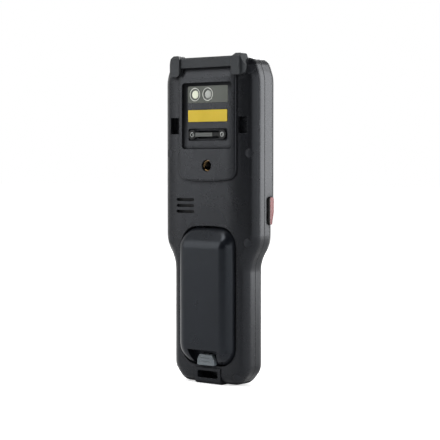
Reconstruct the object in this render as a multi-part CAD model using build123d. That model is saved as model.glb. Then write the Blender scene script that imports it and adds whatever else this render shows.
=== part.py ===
from build123d import *
import os
from math import atan2, cos, pi, sin, sqrt, tan

# Handheld barcode data terminal, in millimetres.
# +Z runs up the device, from its foot to the scanning end. +Y points out of its
# back; the display and the keypad face -Y. The origin is the middle of the foot.
# Left and right are those of a person who looks at the display.

# --- Case form -------------------------------------------------------------
CASE_TOP_Z = 187.5
CASE_BOTTOM_Z = 0.3
HEAD_WIDTH = 67.6
GRIP_WIDTH = 54.4
WAIST_LOW_Z = 65.5
WAIST_HIGH_Z = 86.5
TOP_CORNER_R = 6.5
SHOULDER_RUN = 4.2
SHOULDER_DROP = 11.0
SHOULDER_R = 18.0
TOE_RUN = 7.2
TOE_DROP = 8.2
TOE_LOW_R = 8.0
TOE_SIDE_R = 9.0
HEAD_FRONT_Y = -13.9
GRIP_FRONT_Y = -11.3
STEP_LOW_Z = 91.5
STEP_HIGH_Z = 101.0
BACK_Y = 7.6
BACK_FLAT_HALF = 14.0
BACK_CROWN_DROP = 0.8
BACK_EDGE_R = 5.5
FRONT_EDGE_R = 6.0
WALL = 2.0
PARTING_Y = -1.5
SEAM_GAP = 0.3

# --- Clearances ------------------------------------------------------------
FIT_GAP = 0.1
SLIDE_GAP = 0.3
BODY_GAP = 0.4
CREASE_ANGLE = 15.0

# --- Scanner hump on the back; drops are measured down from the case's top ---
HUMP_WIDTH = 42.0
HUMP_LENGTH = 70.5
HUMP_BOW = 1.6
HUMP_CORNER_R = 6.0
HUMP_RISE = 1.5
HUMP_EDGE_R = 1.1
PANEL_WIDTH = 36.6
PANEL_DROP = 13.6
PANEL_HEIGHT = 38.2
PANEL_DEPTH = 1.2
PANEL_CORNER_R = 2.0
RAMP_WIDTH = 35.6
RAMP_DROP = 10.8

# --- Scanning end ----------------------------------------------------------
BUMPER_RISE = 0.9
BUMPER_DROP = 5.0
BUMPER_BACK_Y = 9.8
BUMPER_FRONT_Y = -8.5
BUMPER_SLOPE = 0.8
BUMPER_RIM = 2.0
HORN_SPACING = 46.6
HORN_WIDTH = 8.8
HORN_DROP = 10.0
HORN_RISE = 2.3
HORN_BACK_Y = 10.7
HORN_DEPTH = 7.1
HORN_SLOPE = 1.8
HORN_INNER_RUN = 2.0
HORN_OUTER_RUN = 3.0
HORN_OUTER_DROP = 7.0
HORN_CORNER_R = 2.4
HORN_BACK_R = 3.0
HORN_EDGE_R = 0.8
SCAN_WINDOW_WIDTH = 29.0
SCAN_WINDOW_DEPTH = 10.0
SCAN_WINDOW_THICKNESS = 0.7
SCAN_WINDOW_Y = -1.0
SCAN_LIP = 1.2
SCAN_ENGINE_SIZE = (24.0, 11.0, 10.0)
SCAN_ENGINE_LENS_R = 3.2

# --- Pieces on the hump ----------------------------------------------------
CAMERA_PLATE_WIDTH = 29.6
CAMERA_PLATE_HEIGHT = 9.9
CAMERA_PLATE_DROP = 20.35
CAMERA_PLATE_THICKNESS = 0.8
CAMERA_R = 3.6
FLASH_X = 9.4
CAMERA_BODY_WIDTH = 8.4
FLASH_BODY_WIDTH = 6.4
CAMERA_BODY_DEPTH = 3.2
LABEL_WIDTH = 28.6
LABEL_HEIGHT = 6.8
LABEL_DROP = 32.7
LABEL_THICKNESS = 0.25
BAR_RECESS_WIDTH = 28.4
BAR_RECESS_HEIGHT = 6.9
BAR_RECESS_DEPTH = 0.6
BAR_DROP = 43.5
BAR_SCREW_SPACING = 22.0
BAR_EYE_R = 2.7
BAR_HEIGHT = 1.9
BAR_THICKNESS = 1.4
BAR_CHANNEL_WIDTH = 15.6
BAR_CHANNEL_HEIGHT = 4.6
BAR_CHANNEL_DEPTH = 2.0
BAR_SCREW_HEAD_R = 1.5
BAR_SCREW_SHANK_R = 0.8
BAR_SCREW_HEAD_HEIGHT = 0.7
BAR_SCREW_LENGTH = 3.2
INSERT_DROP = 61.4
INSERT_R = 3.4
INSERT_BORE_R = 2.1
INSERT_LENGTH = 6.5
INSERT_SINK = 1.0
INSERT_BOSS_WALL = 2.2
HOOK_POCKET_DROP = 33.5
HOOK_POCKET_HEIGHT = 9.5
HOOK_POCKET_INNER_X = 21.6
HOOK_POCKET_OUTER_X = 28.2
HOOK_POCKET_DEPTH = 3.8
HOOK_UNDERCUT = 3.0
HOOK_LIP = 1.9
POCKET_WALL = 1.2

# --- Speaker, receiver, motor ----------------------------------------------
SPEAKER_INSET = 16.8
SPEAKER_Z = 102.9
SPEAKER_SLOT_WIDTH = 13.2
SPEAKER_SLOT_HEIGHT = 1.8
SPEAKER_SLOT_PITCH = 3.45
SPEAKER_SLOT_COUNT = 3
SPEAKER_R = 7.4
SPEAKER_DEPTH = 3.0
MESH_THICKNESS = 0.3
RECEIVER_SLOT_WIDTH = 11.0
RECEIVER_SLOT_HEIGHT = 1.3
RECEIVER_SLOT_DROP = 8.2
RECEIVER_WIDTH = 15.0
RECEIVER_HEIGHT = 5.0
RECEIVER_DEPTH = 2.4
MOTOR_R = 3.0
MOTOR_LENGTH = 11.0
MOTOR_INSET = 17.8
MOTOR_Z = 106.0

# --- Battery pack ----------------------------------------------------------
BATTERY_TOP_Z = 90.6
BATTERY_BOTTOM_Z = 11.6
BATTERY_WIDTH = 38.4
BATTERY_TOP_BOW = 1.6
BATTERY_CORNER_R = 10.5
SEAM_WIDTH = 0.9
COVER_UNDERSIDE_Y = 4.6
COVER_BACK_Y = 13.9
COVER_RAMP_Z = 81.6
COVER_RAMP_R = 10.0
COVER_TOE_Z = 19.0
COVER_TOE_DROP = 4.9
COVER_TOE_R = 18.0
COVER_EDGE_R = 6.8
TRAY_WIDTH = 33.2
TRAY_TOP_Z = 86.0
TRAY_BOTTOM_Z = 16.0
TRAY_FLOOR_Y = 0.6
TRAY_WALL = 1.0
TRAY_CORNER_R = 4.0
TRAY_GAP = 0.5
HINGE_Z = 88.0
HINGE_POCKET_Z = 86.4
HOOK_TAB_WIDTH = 5.0
HOOK_TAB_SPACING = 18.0
HOOK_TAB_TOP_Z = 92.6
HOOK_TAB_THICKNESS = 1.3
CELL_COUNT = 2
CELL_WIDTH = 27.0
CELL_LENGTH = 58.0
CELL_THICKNESS = 5.0
CELL_LOW_Z = 24.2
TERMINAL_COUNT = 4
TERMINAL_PITCH = 3.2
TERMINAL_WIDTH = 2.0
TERMINAL_LENGTH = 4.5
TERMINAL_Z = 81.0
TERMINAL_THICKNESS = 0.5
CONTACT_BLOCK_MARGIN = 1.0
BAY_WALL = 1.2
SEAL_WIDTH = 1.0
SEAL_THICKNESS = 0.3

# --- Battery latch ---------------------------------------------------------
LATCH_WIDTH = 12.5
LATCH_BOTTOM_Z = 11.0
LATCH_HEIGHT = 6.4
LATCH_CROWN_WIDTH = 9.0
LATCH_BACK_Y = 10.0
LATCH_THICKNESS = 2.5
LATCH_TRAVEL = 2.5
LATCH_GROOVE_WIDTH = 7.6
LATCH_GROOVE_HEIGHT = 0.7
LATCH_GROOVE_DEPTH = 0.4
LATCH_STEM_WIDTH = 6.0
LATCH_STEM_HEIGHT = 2.4
LATCH_FOOT_WIDTH = 9.0
LATCH_FOOT_HEIGHT = 3.0
LATCH_FOOT_THICKNESS = 1.2
FINGER_TOP_Z = 20.2
FINGER_TOP_WIDTH = 22.0
FINGER_BOTTOM_WIDTH = 15.4
SPRING_WIRE = 0.5
SPRING_HALF_WIDTH = 1.9
SPRING_BENDS = 5
SPRING_PITCH = 1.3
SPRING_DEPTH = 1.0

# --- Case screws and plugs -------------------------------------------------
HEAD_SCREW_INSET = 4.8
HEAD_SCREW_DROPS = (7.0, 54.2)
WAIST_SCREW = (28.0, 82.5)
FOOT_SCREW = (20.6, 5.0)
SCREW_HEAD_R = 2.1
SCREW_HEAD_HEIGHT = 1.5
SCREW_HEAD_Y = 1.0
SCREW_SHANK_R = 1.1
SCREW_LENGTH = 8.0
PLUG_R = 2.5
PLUG_DEPTH = 2.0
REAR_BOSS_R = 3.8
FRONT_BOSS_R = 2.9

# --- Display ---------------------------------------------------------------
WINDOW_INSET = 6.8
WINDOW_DROP = 12.5
WINDOW_STEP_GAP = 2.0
WINDOW_CORNER_R = 3.0
WINDOW_THICKNESS = 1.4
WINDOW_SINK = 0.15
SCREEN_SIDE_MARGIN = 4.5
SCREEN_MARGIN = 6.0
PANEL_FRAME = 2.0
DISPLAY_DEPTH = 2.8
FRAME_SLAB_DEPTH = 1.2

# --- Keypad ----------------------------------------------------------------
KEY_PROUD = 1.0
KEY_TRAVEL = 0.7
KEY_FLANGE = 0.8
KEY_FLANGE_THICKNESS = 0.8
KEY_EDGE = 0.45
KEY_CORNER_R = 1.8
DIGIT_WIDTH = 10.0
DIGIT_HEIGHT = 6.6
DIGIT_PITCH_X = 13.0
DIGIT_PITCH_Z = 9.8
DIGIT_TOP_Z = 52.4
SCAN_KEY_R = 6.2
SCAN_KEY_Z = 74.0
CURSOR_OFFSET = 10.8
CURSOR_LENGTH = 12.0
CURSOR_WIDTH = 5.0
SOFT_KEY_X = 17.5
SOFT_KEY_Z = 88.0
SOFT_KEY_WIDTH = 10.0
SMALL_KEY_X = 16.8
SMALL_KEY_Z = 62.5
SMALL_KEY_WIDTH = 8.0
SMALL_KEY_HEIGHT = 5.0
MAT_WIDTH = 45.0
MAT_LOW_Z = 17.0
MAT_HIGH_Z = 92.5
MAT_THICKNESS = 1.2
KEY_BOARD_WIDTH = 49.0
KEY_BOARD_LOW_Z = 13.0
KEY_BOARD_THICKNESS = 1.2
POST_R = 1.0
POST_SPACING = 47.4
POST_HEIGHTS = (24.0, 58.0)

# --- Main board and side triggers ------------------------------------------
BOARD_INSET = 9.3
BOARD_LOW_Z = 95.0
BOARD_DROP = 16.5
BOARD_THICKNESS = 1.6
SHIELD_SIZE = (20.0, 3.0, 22.0)
TRIGGER_Z = 100.35
TRIGGER_LENGTH = 15.5
TRIGGER_Y = -6.8
TRIGGER_BREADTH = 5.0
TRIGGER_PROUD = 0.9
TRIGGER_TRAVEL = 0.8
TRIGGER_FLANGE = 0.9
TRIGGER_CORNER_R = 1.4
SWITCH_BREADTH = 3.0
SWITCH_LENGTH = 6.0

# --- Foot: strap anchor and cradle connector ---------------------------------
ANCHOR_WIDTH = 18.6
ANCHOR_RISE = 0.5
ANCHOR_TOP_Z = 9.3
ANCHOR_EDGE_R = 2.0
STRAP_SLOT_WIDTH = 15.0
STRAP_SLOT_LOW_Z = 3.4
STRAP_SLOT_HEIGHT = 4.3
STRAP_EXIT_DEPTH = 4.8
ANCHOR_FRONT_WALL = 0.5
CONNECTOR_WIDTH = 20.0
CONNECTOR_DEPTH = 5.2
CONNECTOR_Y = -6.2
CONNECTOR_HEIGHT = 7.0
CONNECTOR_WELL = 1.6
CONNECTOR_PADS = 8
CONNECTOR_PAD_PITCH = 1.9
CONNECTOR_PAD_WIDTH = 1.1

# --- Levels worked out from the sizes above ----------------------------------
REAR_RIM_Y = PARTING_Y + SEAM_GAP / 2
FRONT_RIM_Y = PARTING_Y - SEAM_GAP / 2
BACK_INSIDE_Y = BACK_Y - WALL
HUMP_Y = BACK_Y + HUMP_RISE
PANEL_Y = HUMP_Y - PANEL_DEPTH
HUMP_BOTTOM_Z = CASE_TOP_Z - HUMP_LENGTH
PANEL_HIGH_Z = CASE_TOP_Z - PANEL_DROP
RAMP_LOW_Z = CASE_TOP_Z - RAMP_DROP
BUMPER_LOW_Z = CASE_TOP_Z - BUMPER_DROP
BUMPER_TOP_Z = CASE_TOP_Z + BUMPER_RISE
HORN_LOW_Z = CASE_TOP_Z - HORN_DROP
HORN_TOP_Z = CASE_TOP_Z + HORN_RISE
CAMERA_PLATE_Z = CASE_TOP_Z - CAMERA_PLATE_DROP
LABEL_Z = CASE_TOP_Z - LABEL_DROP
BAR_Z = CASE_TOP_Z - BAR_DROP
INSERT_Z = CASE_TOP_Z - INSERT_DROP
HOOK_POCKET_HIGH_Z = CASE_TOP_Z - HOOK_POCKET_DROP
RECEIVER_SLOT_Z = CASE_TOP_Z - RECEIVER_SLOT_DROP
BOARD_HIGH_Z = CASE_TOP_Z - BOARD_DROP
BAR_RECESS_Y = PANEL_Y - BAR_RECESS_DEPTH
BAY_FLOOR_Y = TRAY_FLOOR_Y - TRAY_GAP
LEDGE_Y = COVER_UNDERSIDE_Y - SEAL_THICKNESS - SLIDE_GAP
LATCH_FACE_Y = LATCH_BACK_Y - LATCH_THICKNESS
FINGER_FLOOR_Y = LATCH_FACE_Y - SLIDE_GAP
GRIP_INSIDE_Y = GRIP_FRONT_Y + WALL
KEY_BASE_Y = GRIP_INSIDE_Y + SLIDE_GAP + KEY_FLANGE_THICKNESS
MAT_FRONT_Y = KEY_BASE_Y + KEY_TRAVEL + SLIDE_GAP
KEY_BOARD_FRONT_Y = MAT_FRONT_Y + MAT_THICKNESS
HEAD_INSIDE_Y = HEAD_FRONT_Y + WALL
DISPLAY_FRONT_Y = HEAD_INSIDE_Y + FRAME_SLAB_DEPTH
BOARD_FRONT_Y = DISPLAY_FRONT_Y + DISPLAY_DEPTH + FIT_GAP
WINDOW_WIDTH = HEAD_WIDTH - 2 * WINDOW_INSET
SCREEN_WIDTH = WINDOW_WIDTH - 2 * SCREEN_SIDE_MARGIN
WINDOW_HIGH_Z = CASE_TOP_Z - WINDOW_DROP
WINDOW_LOW_Z = STEP_HIGH_Z + WINDOW_STEP_GAP
WINDOW_HEIGHT = WINDOW_HIGH_Z - WINDOW_LOW_Z
WINDOW_MIDDLE_Z = (WINDOW_LOW_Z + WINDOW_HIGH_Z) / 2
SCREEN_HEIGHT = WINDOW_HEIGHT - 2 * SCREEN_MARGIN
ANCHOR_BACK_Y = BACK_Y + ANCHOR_RISE
HORN_FRONT_Y = HORN_BACK_Y - HORN_DEPTH
HEAD_SCREW_X = HEAD_WIDTH / 2 - HEAD_SCREW_INSET
SPEAKER_X = HEAD_WIDTH / 2 - SPEAKER_INSET
MOTOR_X = MOTOR_INSET - HEAD_WIDTH / 2
BOARD_WIDTH = HEAD_WIDTH - 2 * BOARD_INSET
BAY_BOTTOM_Z = BATTERY_BOTTOM_Z - SEAM_WIDTH


def slab(profile, y_low, y_high):
    """Raise a profile drawn in X and Z from y_low to y_high."""
    return extrude(Pos(0, y_low, 0) * (Plane.XZ * profile), amount=y_high - y_low, dir=(0, 1, 0))


def block(x_span, y_span, z_span):
    """Return a box given its low and high end along each axis."""
    size = [high - low for low, high in (x_span, y_span, z_span)]
    middle = [(high + low) / 2 for low, high in (x_span, y_span, z_span)]
    return Pos(*middle) * Box(*size)


def rounded(width, height, corner, x=0.0, z=0.0):
    """Return a rounded rectangle drawn in X and Z."""
    return Pos(x, z) * RectangleRounded(width, height, corner)


def rod(radius, y_low, y_high, x=0.0, z=0.0):
    """Return a cylinder along Y."""
    return slab(Pos(x, z) * Circle(radius), y_low, y_high)


def both_sides(shape):
    """Return a shape and its mirror image on the other side of the device."""
    return [shape, mirror(shape, Plane.YZ)]


def creases(shape, level):
    """Find the edges behind a level where two faces meet at a plain angle."""
    found = []
    for edge in shape.edges():
        middle = edge @ 0.5
        if middle.Y <= level:
            continue
        normals = [face.normal_at(middle) for face in shape.faces()
                   if any(edge.is_same(other) for other in face.edges())]
        if len(normals) == 2 and normals[0].get_angle(normals[1]) > CREASE_ANGLE:
            found.append(edge)
    return found


def symmetric_face(half):
    """Close the outline whose right half is given and that runs from axis to axis."""
    return make_face([*half, *(mirror(edge, Plane.YZ) for edge in half)])


def body_outline(inset=0.0):
    """Return the case's outline, a broad head over a narrower grip, or one set in by inset."""
    flare = (HEAD_WIDTH - GRIP_WIDTH) / 4
    rise = (WAIST_HIGH_Z - WAIST_LOW_Z) / 2
    bend = 2 * atan2(flare, rise)
    half_head, half_grip = HEAD_WIDTH / 2 - inset, GRIP_WIDTH / 2 - inset
    bottom, top = CASE_BOTTOM_Z + inset, CASE_TOP_Z - inset
    waist_x = (HEAD_WIDTH + GRIP_WIDTH) / 4 - inset * cos(bend)
    waist_z = (WAIST_LOW_Z + WAIST_HIGH_Z) / 2 + inset * sin(bend)
    lean = atan2(TOE_RUN, TOE_DROP)
    toe_low = (GRIP_WIDTH / 2 - TOE_RUN - inset * tan((pi / 2 - lean) / 2), bottom)
    toe_side = (half_grip, CASE_BOTTOM_Z + TOE_DROP + inset * tan(lean / 2))
    foot = FilletPolyline((0, bottom), toe_low, toe_side, (half_grip, WAIST_LOW_Z),
                          radius=[TOE_LOW_R - inset, TOE_SIDE_R - inset])
    waist_in = TangentArc(foot @ 1, (waist_x, waist_z), tangent=(0, 1))
    waist_out = TangentArc(waist_in @ 1, (half_head, WAIST_HIGH_Z), tangent=waist_in % 1)
    slope = atan2(SHOULDER_RUN, SHOULDER_DROP)
    low_shift, high_shift = inset * tan(slope / 2), inset * tan((pi / 2 - slope) / 2)
    shoulder = (half_head, CASE_TOP_Z - SHOULDER_DROP - low_shift)
    corner = (HEAD_WIDTH / 2 - SHOULDER_RUN - high_shift, top)
    head = FilletPolyline(waist_out @ 1, shoulder, corner, (0, top),
                          radius=[SHOULDER_R - inset, TOP_CORNER_R - inset])
    return symmetric_face([*foot.edges(), waist_in, waist_out, *head.edges()])


def crowned_prism(inset):
    """Return the space in front of the gently crowned back."""
    run = HEAD_WIDTH / 2 - BACK_FLAT_HALF
    radius = (run**2 + BACK_CROWN_DROP**2) / (2 * BACK_CROWN_DROP) - inset
    reach = HEAD_WIDTH / 2 + 2 * WALL
    y_back, y_front = BACK_Y - inset, HEAD_FRONT_Y + inset
    y_edge = y_back - radius + sqrt(radius**2 - (reach - BACK_FLAT_HALF) ** 2)
    half = [
        Line((0, y_front), (reach, y_front)),
        Line((reach, y_front), (reach, y_edge)),
        TangentArc((BACK_FLAT_HALF, y_back), (reach, y_edge), tangent=(1, 0)),
        Line((BACK_FLAT_HALF, y_back), (0, y_back)),
    ]
    return Pos(0, 0, -WALL) * extrude(symmetric_face(half), amount=CASE_TOP_Z + 3 * WALL)


def stepped_prism(inset):
    """Return the space behind the front, which steps out from grip to head."""
    y_head, y_grip, y_far = HEAD_FRONT_Y + inset, GRIP_FRONT_Y + inset, BACK_Y + WALL
    z_low, z_high = -WALL, CASE_TOP_Z + WALL
    middle = ((y_head + y_grip) / 2, (STEP_LOW_Z + STEP_HIGH_Z) / 2)
    out = TangentArc((y_grip, STEP_LOW_Z), middle, tangent=(0, 1))
    back_in = TangentArc(middle, (y_head, STEP_HIGH_Z), tangent=out % 1)
    rest = Polyline((y_head, STEP_HIGH_Z), (y_head, z_high), (y_far, z_high), (y_far, z_low),
                    (y_grip, z_low), (y_grip, STEP_LOW_Z))
    return extrude(Plane.YZ * make_face([out, back_in, *rest.edges()]), amount=HEAD_WIDTH, both=True)


def case_body(inset=0.0):
    """Return the case's solid form, or the same form a wall thickness smaller."""
    outline = body_outline(inset)
    blank = slab(outline, HEAD_FRONT_Y - WALL, BACK_Y + WALL)
    body = blank & crowned_prism(inset) & stepped_prism(inset)
    rim = (Plane.XZ * outline).wire()

    def perimeter(shape, behind):
        """Find the edges that run round the outline, behind or before the parting plane."""
        found = []
        for edge in shape.edges():
            middle = edge @ 0.5
            on_rim = rim.distance_to(Vertex(middle.X, 0, middle.Z)) < 1e-3
            if on_rim and abs((edge % 0.5).Y) < 0.9 and (middle.Y > PARTING_Y) == behind:
                found.append(edge)
        return found

    body = fillet(perimeter(body, True), BACK_EDGE_R - inset)
    return fillet(perimeter(body, False), FRONT_EDGE_R - inset)


CASE_OUTSIDE = case_body()
CASE_INSIDE = case_body(WALL)
CASE_SKIN = CASE_OUTSIDE - CASE_INSIDE
REAR_SPACE = block((-HEAD_WIDTH, HEAD_WIDTH), (REAR_RIM_Y, BACK_Y + HUMP_RISE + WALL), (-WALL, HORN_TOP_Z))
FRONT_SPACE = block((-HEAD_WIDTH, HEAD_WIDTH), (HEAD_FRONT_Y - WALL, FRONT_RIM_Y), (-WALL, HORN_TOP_Z))


# --- Battery bay and pack outline --------------------------------------------
def battery_outline(grow=0.0):
    """Return the pack's outline: round corners and a gently bowed top edge."""
    half, low, high = BATTERY_WIDTH / 2 + grow, BATTERY_BOTTOM_Z - grow, BATTERY_TOP_Z + grow
    shoulder = high - BATTERY_TOP_BOW
    sides = Polyline((-half, shoulder), (-half, low), (half, low), (half, shoulder))
    crown = ThreePointArc((half, shoulder), (0, high), (-half, shoulder))
    face = make_face([*sides.edges(), crown])
    return fillet(face.vertices(), BATTERY_CORNER_R + grow)


def tray_outline(grow=0.0):
    """Return the outline of the pack's inner half."""
    height = TRAY_TOP_Z - TRAY_BOTTOM_Z + 2 * grow
    middle = (TRAY_TOP_Z + TRAY_BOTTOM_Z) / 2
    return rounded(TRAY_WIDTH + 2 * grow, height, TRAY_CORNER_R + grow, z=middle)


def bay_space():
    """Return the space that the bay leaves for the pack, with its ledge and hinge pocket."""
    mouth = slab(battery_outline(SEAM_WIDTH), LEDGE_Y, COVER_BACK_Y)
    well = slab(tray_outline(TRAY_GAP), BAY_FLOOR_Y, COVER_BACK_Y)
    full_depth = slab(battery_outline(SEAM_WIDTH), BAY_FLOOR_Y, COVER_BACK_Y)
    above = block((-HEAD_WIDTH, HEAD_WIDTH), (BAY_FLOOR_Y, COVER_BACK_Y), (HINGE_POCKET_Z, CASE_TOP_Z))
    return mouth + well + (full_depth & above)


def hook_windows(grow):
    """Return the two openings through which the pack's hook tabs reach under the back."""
    top_z = BATTERY_TOP_Z + SEAM_WIDTH + BAY_WALL + WALL
    half = HOOK_TAB_WIDTH / 2 + grow
    middle = HOOK_TAB_SPACING / 2
    window = block((middle - half, middle + half), (BAY_FLOOR_Y, BACK_INSIDE_Y), (HINGE_Z, top_z))
    return both_sides(window)


# --- Case shells ---------------------------------------------------------------
def hump_outline(grow=0.0):
    """Return the scanner hump's outline, with a bowed lower edge."""
    half, low = HUMP_WIDTH / 2 + grow, HUMP_BOTTOM_Z - grow
    sides = Polyline((half, low + HUMP_BOW), (half, BUMPER_LOW_Z + WALL), (-half, BUMPER_LOW_Z + WALL),
                     (-half, low + HUMP_BOW))
    bow = ThreePointArc((-half, low + HUMP_BOW), (0, low), (half, low + HUMP_BOW))
    face = make_face([*sides.edges(), bow])
    lower = face.vertices().sort_by(Axis.Y)[:2]
    return fillet(lower, HUMP_CORNER_R)


def hump():
    """Return the raised pad that carries the camera, the strap bar and the insert."""
    pad = slab(hump_outline(), BACK_INSIDE_Y, HUMP_Y)
    soft = [edge for edge in pad.faces().sort_by(Axis.Y)[-1].edges()
            if (edge @ 0.5).Z < BUMPER_LOW_Z]
    pad = fillet(soft, HUMP_EDGE_R)
    slope = Polyline((HUMP_Y, RAMP_LOW_Z), (BACK_Y, BUMPER_LOW_Z), (BACK_Y, CASE_TOP_Z),
                     (HUMP_Y + WALL, CASE_TOP_Z), (HUMP_Y + WALL, RAMP_LOW_Z), close=True)
    return pad - extrude(Plane.YZ * make_face(slope), amount=RAMP_WIDTH / 2, both=True)


def panel_recess():
    """Return the shallow recess in the hump that holds the camera plate and label."""
    outline = rounded(PANEL_WIDTH, PANEL_HEIGHT, PANEL_CORNER_R, z=PANEL_HIGH_Z - PANEL_HEIGHT / 2)
    return slab(outline, PANEL_Y, HUMP_Y + WALL)


def bar_recess():
    """Return the recess of the strap bar, with the deeper channel behind the bar."""
    shallow = rounded(BAR_RECESS_WIDTH, BAR_RECESS_HEIGHT, WALL / 2, z=BAR_Z)
    deep = rounded(BAR_CHANNEL_WIDTH, BAR_CHANNEL_HEIGHT, WALL / 2, z=BAR_Z)
    channel = slab(deep, BAR_RECESS_Y - BAR_CHANNEL_DEPTH, HUMP_Y)
    return slab(shallow, BAR_RECESS_Y, HUMP_Y) + channel


def hook_pocket(wall=0.0):
    """Return one accessory pocket, undercut towards the middle, or its backing block."""
    back = BACK_INSIDE_Y + POCKET_WALL / 2 if wall else BACK_Y + WALL
    floor = BACK_Y - HOOK_POCKET_DEPTH - wall
    z_span = (HOOK_POCKET_HIGH_Z - HOOK_POCKET_HEIGHT - wall, HOOK_POCKET_HIGH_Z + wall)
    pocket = block((HOOK_POCKET_INNER_X - wall, HOOK_POCKET_OUTER_X + wall), (floor, back), z_span)
    reach = (HOOK_POCKET_INNER_X - HOOK_UNDERCUT - wall, HOOK_POCKET_INNER_X)
    ceiling = BACK_Y - HOOK_LIP + wall
    return pocket + block(reach, (floor, ceiling), z_span)


def screw_places():
    """List the X and Z of each case screw."""
    spots = [(HEAD_SCREW_X, CASE_TOP_Z - drop) for drop in HEAD_SCREW_DROPS] + [WAIST_SCREW, FOOT_SCREW]
    return [(side * x, z) for x, z in spots for side in (1, -1)]


def speaker_slots():
    """Return the sound slots through the back."""
    first = SPEAKER_Z - SPEAKER_SLOT_PITCH * (SPEAKER_SLOT_COUNT - 1) / 2
    slots = []
    for index in range(SPEAKER_SLOT_COUNT):
        place = Pos(SPEAKER_X, first + SPEAKER_SLOT_PITCH * index)
        outline = place * SlotOverall(SPEAKER_SLOT_WIDTH, SPEAKER_SLOT_HEIGHT)
        slots.append(slab(outline, BACK_INSIDE_Y - WALL, BACK_Y + WALL))
    return slots


def top_opening():
    """Return the scanner's opening through the top wall."""
    half_x = SCAN_WINDOW_WIDTH / 2 - SCAN_LIP
    half_y = SCAN_WINDOW_DEPTH / 2 - SCAN_LIP
    z_span = (CASE_TOP_Z - 2 * WALL, CASE_TOP_Z + WALL)
    return block((-half_x, half_x), (SCAN_WINDOW_Y - half_y, SCAN_WINDOW_Y + half_y), z_span)


def anchor_notch():
    """Return the notch in the foot of the rear case that takes the strap anchor."""
    half = ANCHOR_WIDTH / 2 + FIT_GAP
    return block((-half, half), (REAR_RIM_Y - WALL, ANCHOR_BACK_Y), (-WALL, BAY_BOTTOM_Z))


def insert_boss():
    """Return the boss round the handle insert, behind the hump."""
    depth = INSERT_SINK + INSERT_LENGTH
    return rod(INSERT_R + INSERT_BOSS_WALL, HUMP_Y - depth, BACK_Y, z=INSERT_Z)


def bay_form():
    """Return the battery bay's outside form."""
    return slab(battery_outline(SEAM_WIDTH + BAY_WALL), BAY_FLOOR_Y - BAY_WALL, BACK_Y)


def battery_bay():
    """Return the tub that holds the pack, set in the back shell."""
    pads = TERMINAL_COUNT * TERMINAL_PITCH / 2 + CONTACT_BLOCK_MARGIN + FIT_GAP
    reach = TERMINAL_LENGTH / 2 + CONTACT_BLOCK_MARGIN + FIT_GAP
    contacts = block((-pads, pads), (REAR_RIM_Y - WALL, BAY_FLOOR_Y + FIT_GAP),
                     (TERMINAL_Z - reach, TERMINAL_Z + reach))
    tub = bay_form() & CASE_OUTSIDE
    for cut in (bay_space(), *hook_windows(BODY_GAP), contacts, anchor_notch()):
        tub -= cut
    return tub


def rear_case():
    """Return the back shell with hump, bosses and pockets, open where the battery bay sits."""
    shell = CASE_SKIN & REAR_SPACE
    shell += hump()
    backing_half = BAR_RECESS_WIDTH / 2
    backing = (BAR_Z - BAR_RECESS_HEIGHT, BAR_Z + BAR_RECESS_HEIGHT)
    backing_y = BAR_RECESS_Y - BAR_CHANNEL_DEPTH - POCKET_WALL
    shell += block((-backing_half, backing_half), (backing_y, BACK_Y), backing)
    for boss in both_sides(hook_pocket(POCKET_WALL)):
        shell += boss
    shell += insert_boss()
    for x, z in screw_places():
        shell += rod(REAR_BOSS_R, REAR_RIM_Y, BACK_Y, x, z) & CASE_OUTSIDE

    bay_hole = slab(battery_outline(SEAM_WIDTH + BAY_WALL), REAR_RIM_Y - WALL, BACK_Y + WALL)
    cuts = [bay_hole, panel_recess(), bar_recess(), *speaker_slots(), top_opening(), anchor_notch()]
    cuts += both_sides(hook_pocket())
    plate = rounded(CAMERA_PLATE_WIDTH, CAMERA_PLATE_HEIGHT, WALL / 2, z=CAMERA_PLATE_Z)
    cuts.append(slab(plate, PANEL_Y - CAMERA_PLATE_THICKNESS, HUMP_Y))
    for x in (0.0, FLASH_X):
        cuts.append(rod(CAMERA_R, BACK_INSIDE_Y - WALL, HUMP_Y, x, CAMERA_PLATE_Z))
    cuts.append(rod(INSERT_R, HUMP_Y - INSERT_SINK - INSERT_LENGTH - WALL, HUMP_Y + WALL, z=INSERT_Z))
    for x in (-BAR_SCREW_SPACING / 2, BAR_SCREW_SPACING / 2):
        cuts.append(rod(BAR_SCREW_SHANK_R + FIT_GAP / 2, bar_screw_tip() - FIT_GAP, HUMP_Y, x, BAR_Z))
    for x, z in screw_places():
        cuts.append(rod(PLUG_R, SCREW_HEAD_Y, HUMP_Y + WALL, x, z))
        cuts.append(rod(SCREW_SHANK_R + FIT_GAP, REAR_RIM_Y - WALL, BACK_Y, x, z))
    for cut in cuts:
        shell -= cut
    return shell


def trigger_space(side, length_gap, depth_low, depth_high):
    """Return the straight channel that a side trigger or its opening fills."""
    breadth = TRIGGER_BREADTH + 2 * length_gap
    length = TRIGGER_LENGTH + 2 * length_gap
    corner = TRIGGER_CORNER_R + length_gap
    profile = Plane.YZ * (Pos(TRIGGER_Y, TRIGGER_Z) * RectangleRounded(breadth, length, corner))
    channel = Pos(depth_low, 0, 0) * extrude(profile, amount=depth_high - depth_low)
    return channel if side > 0 else mirror(channel, Plane.YZ)


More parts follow.
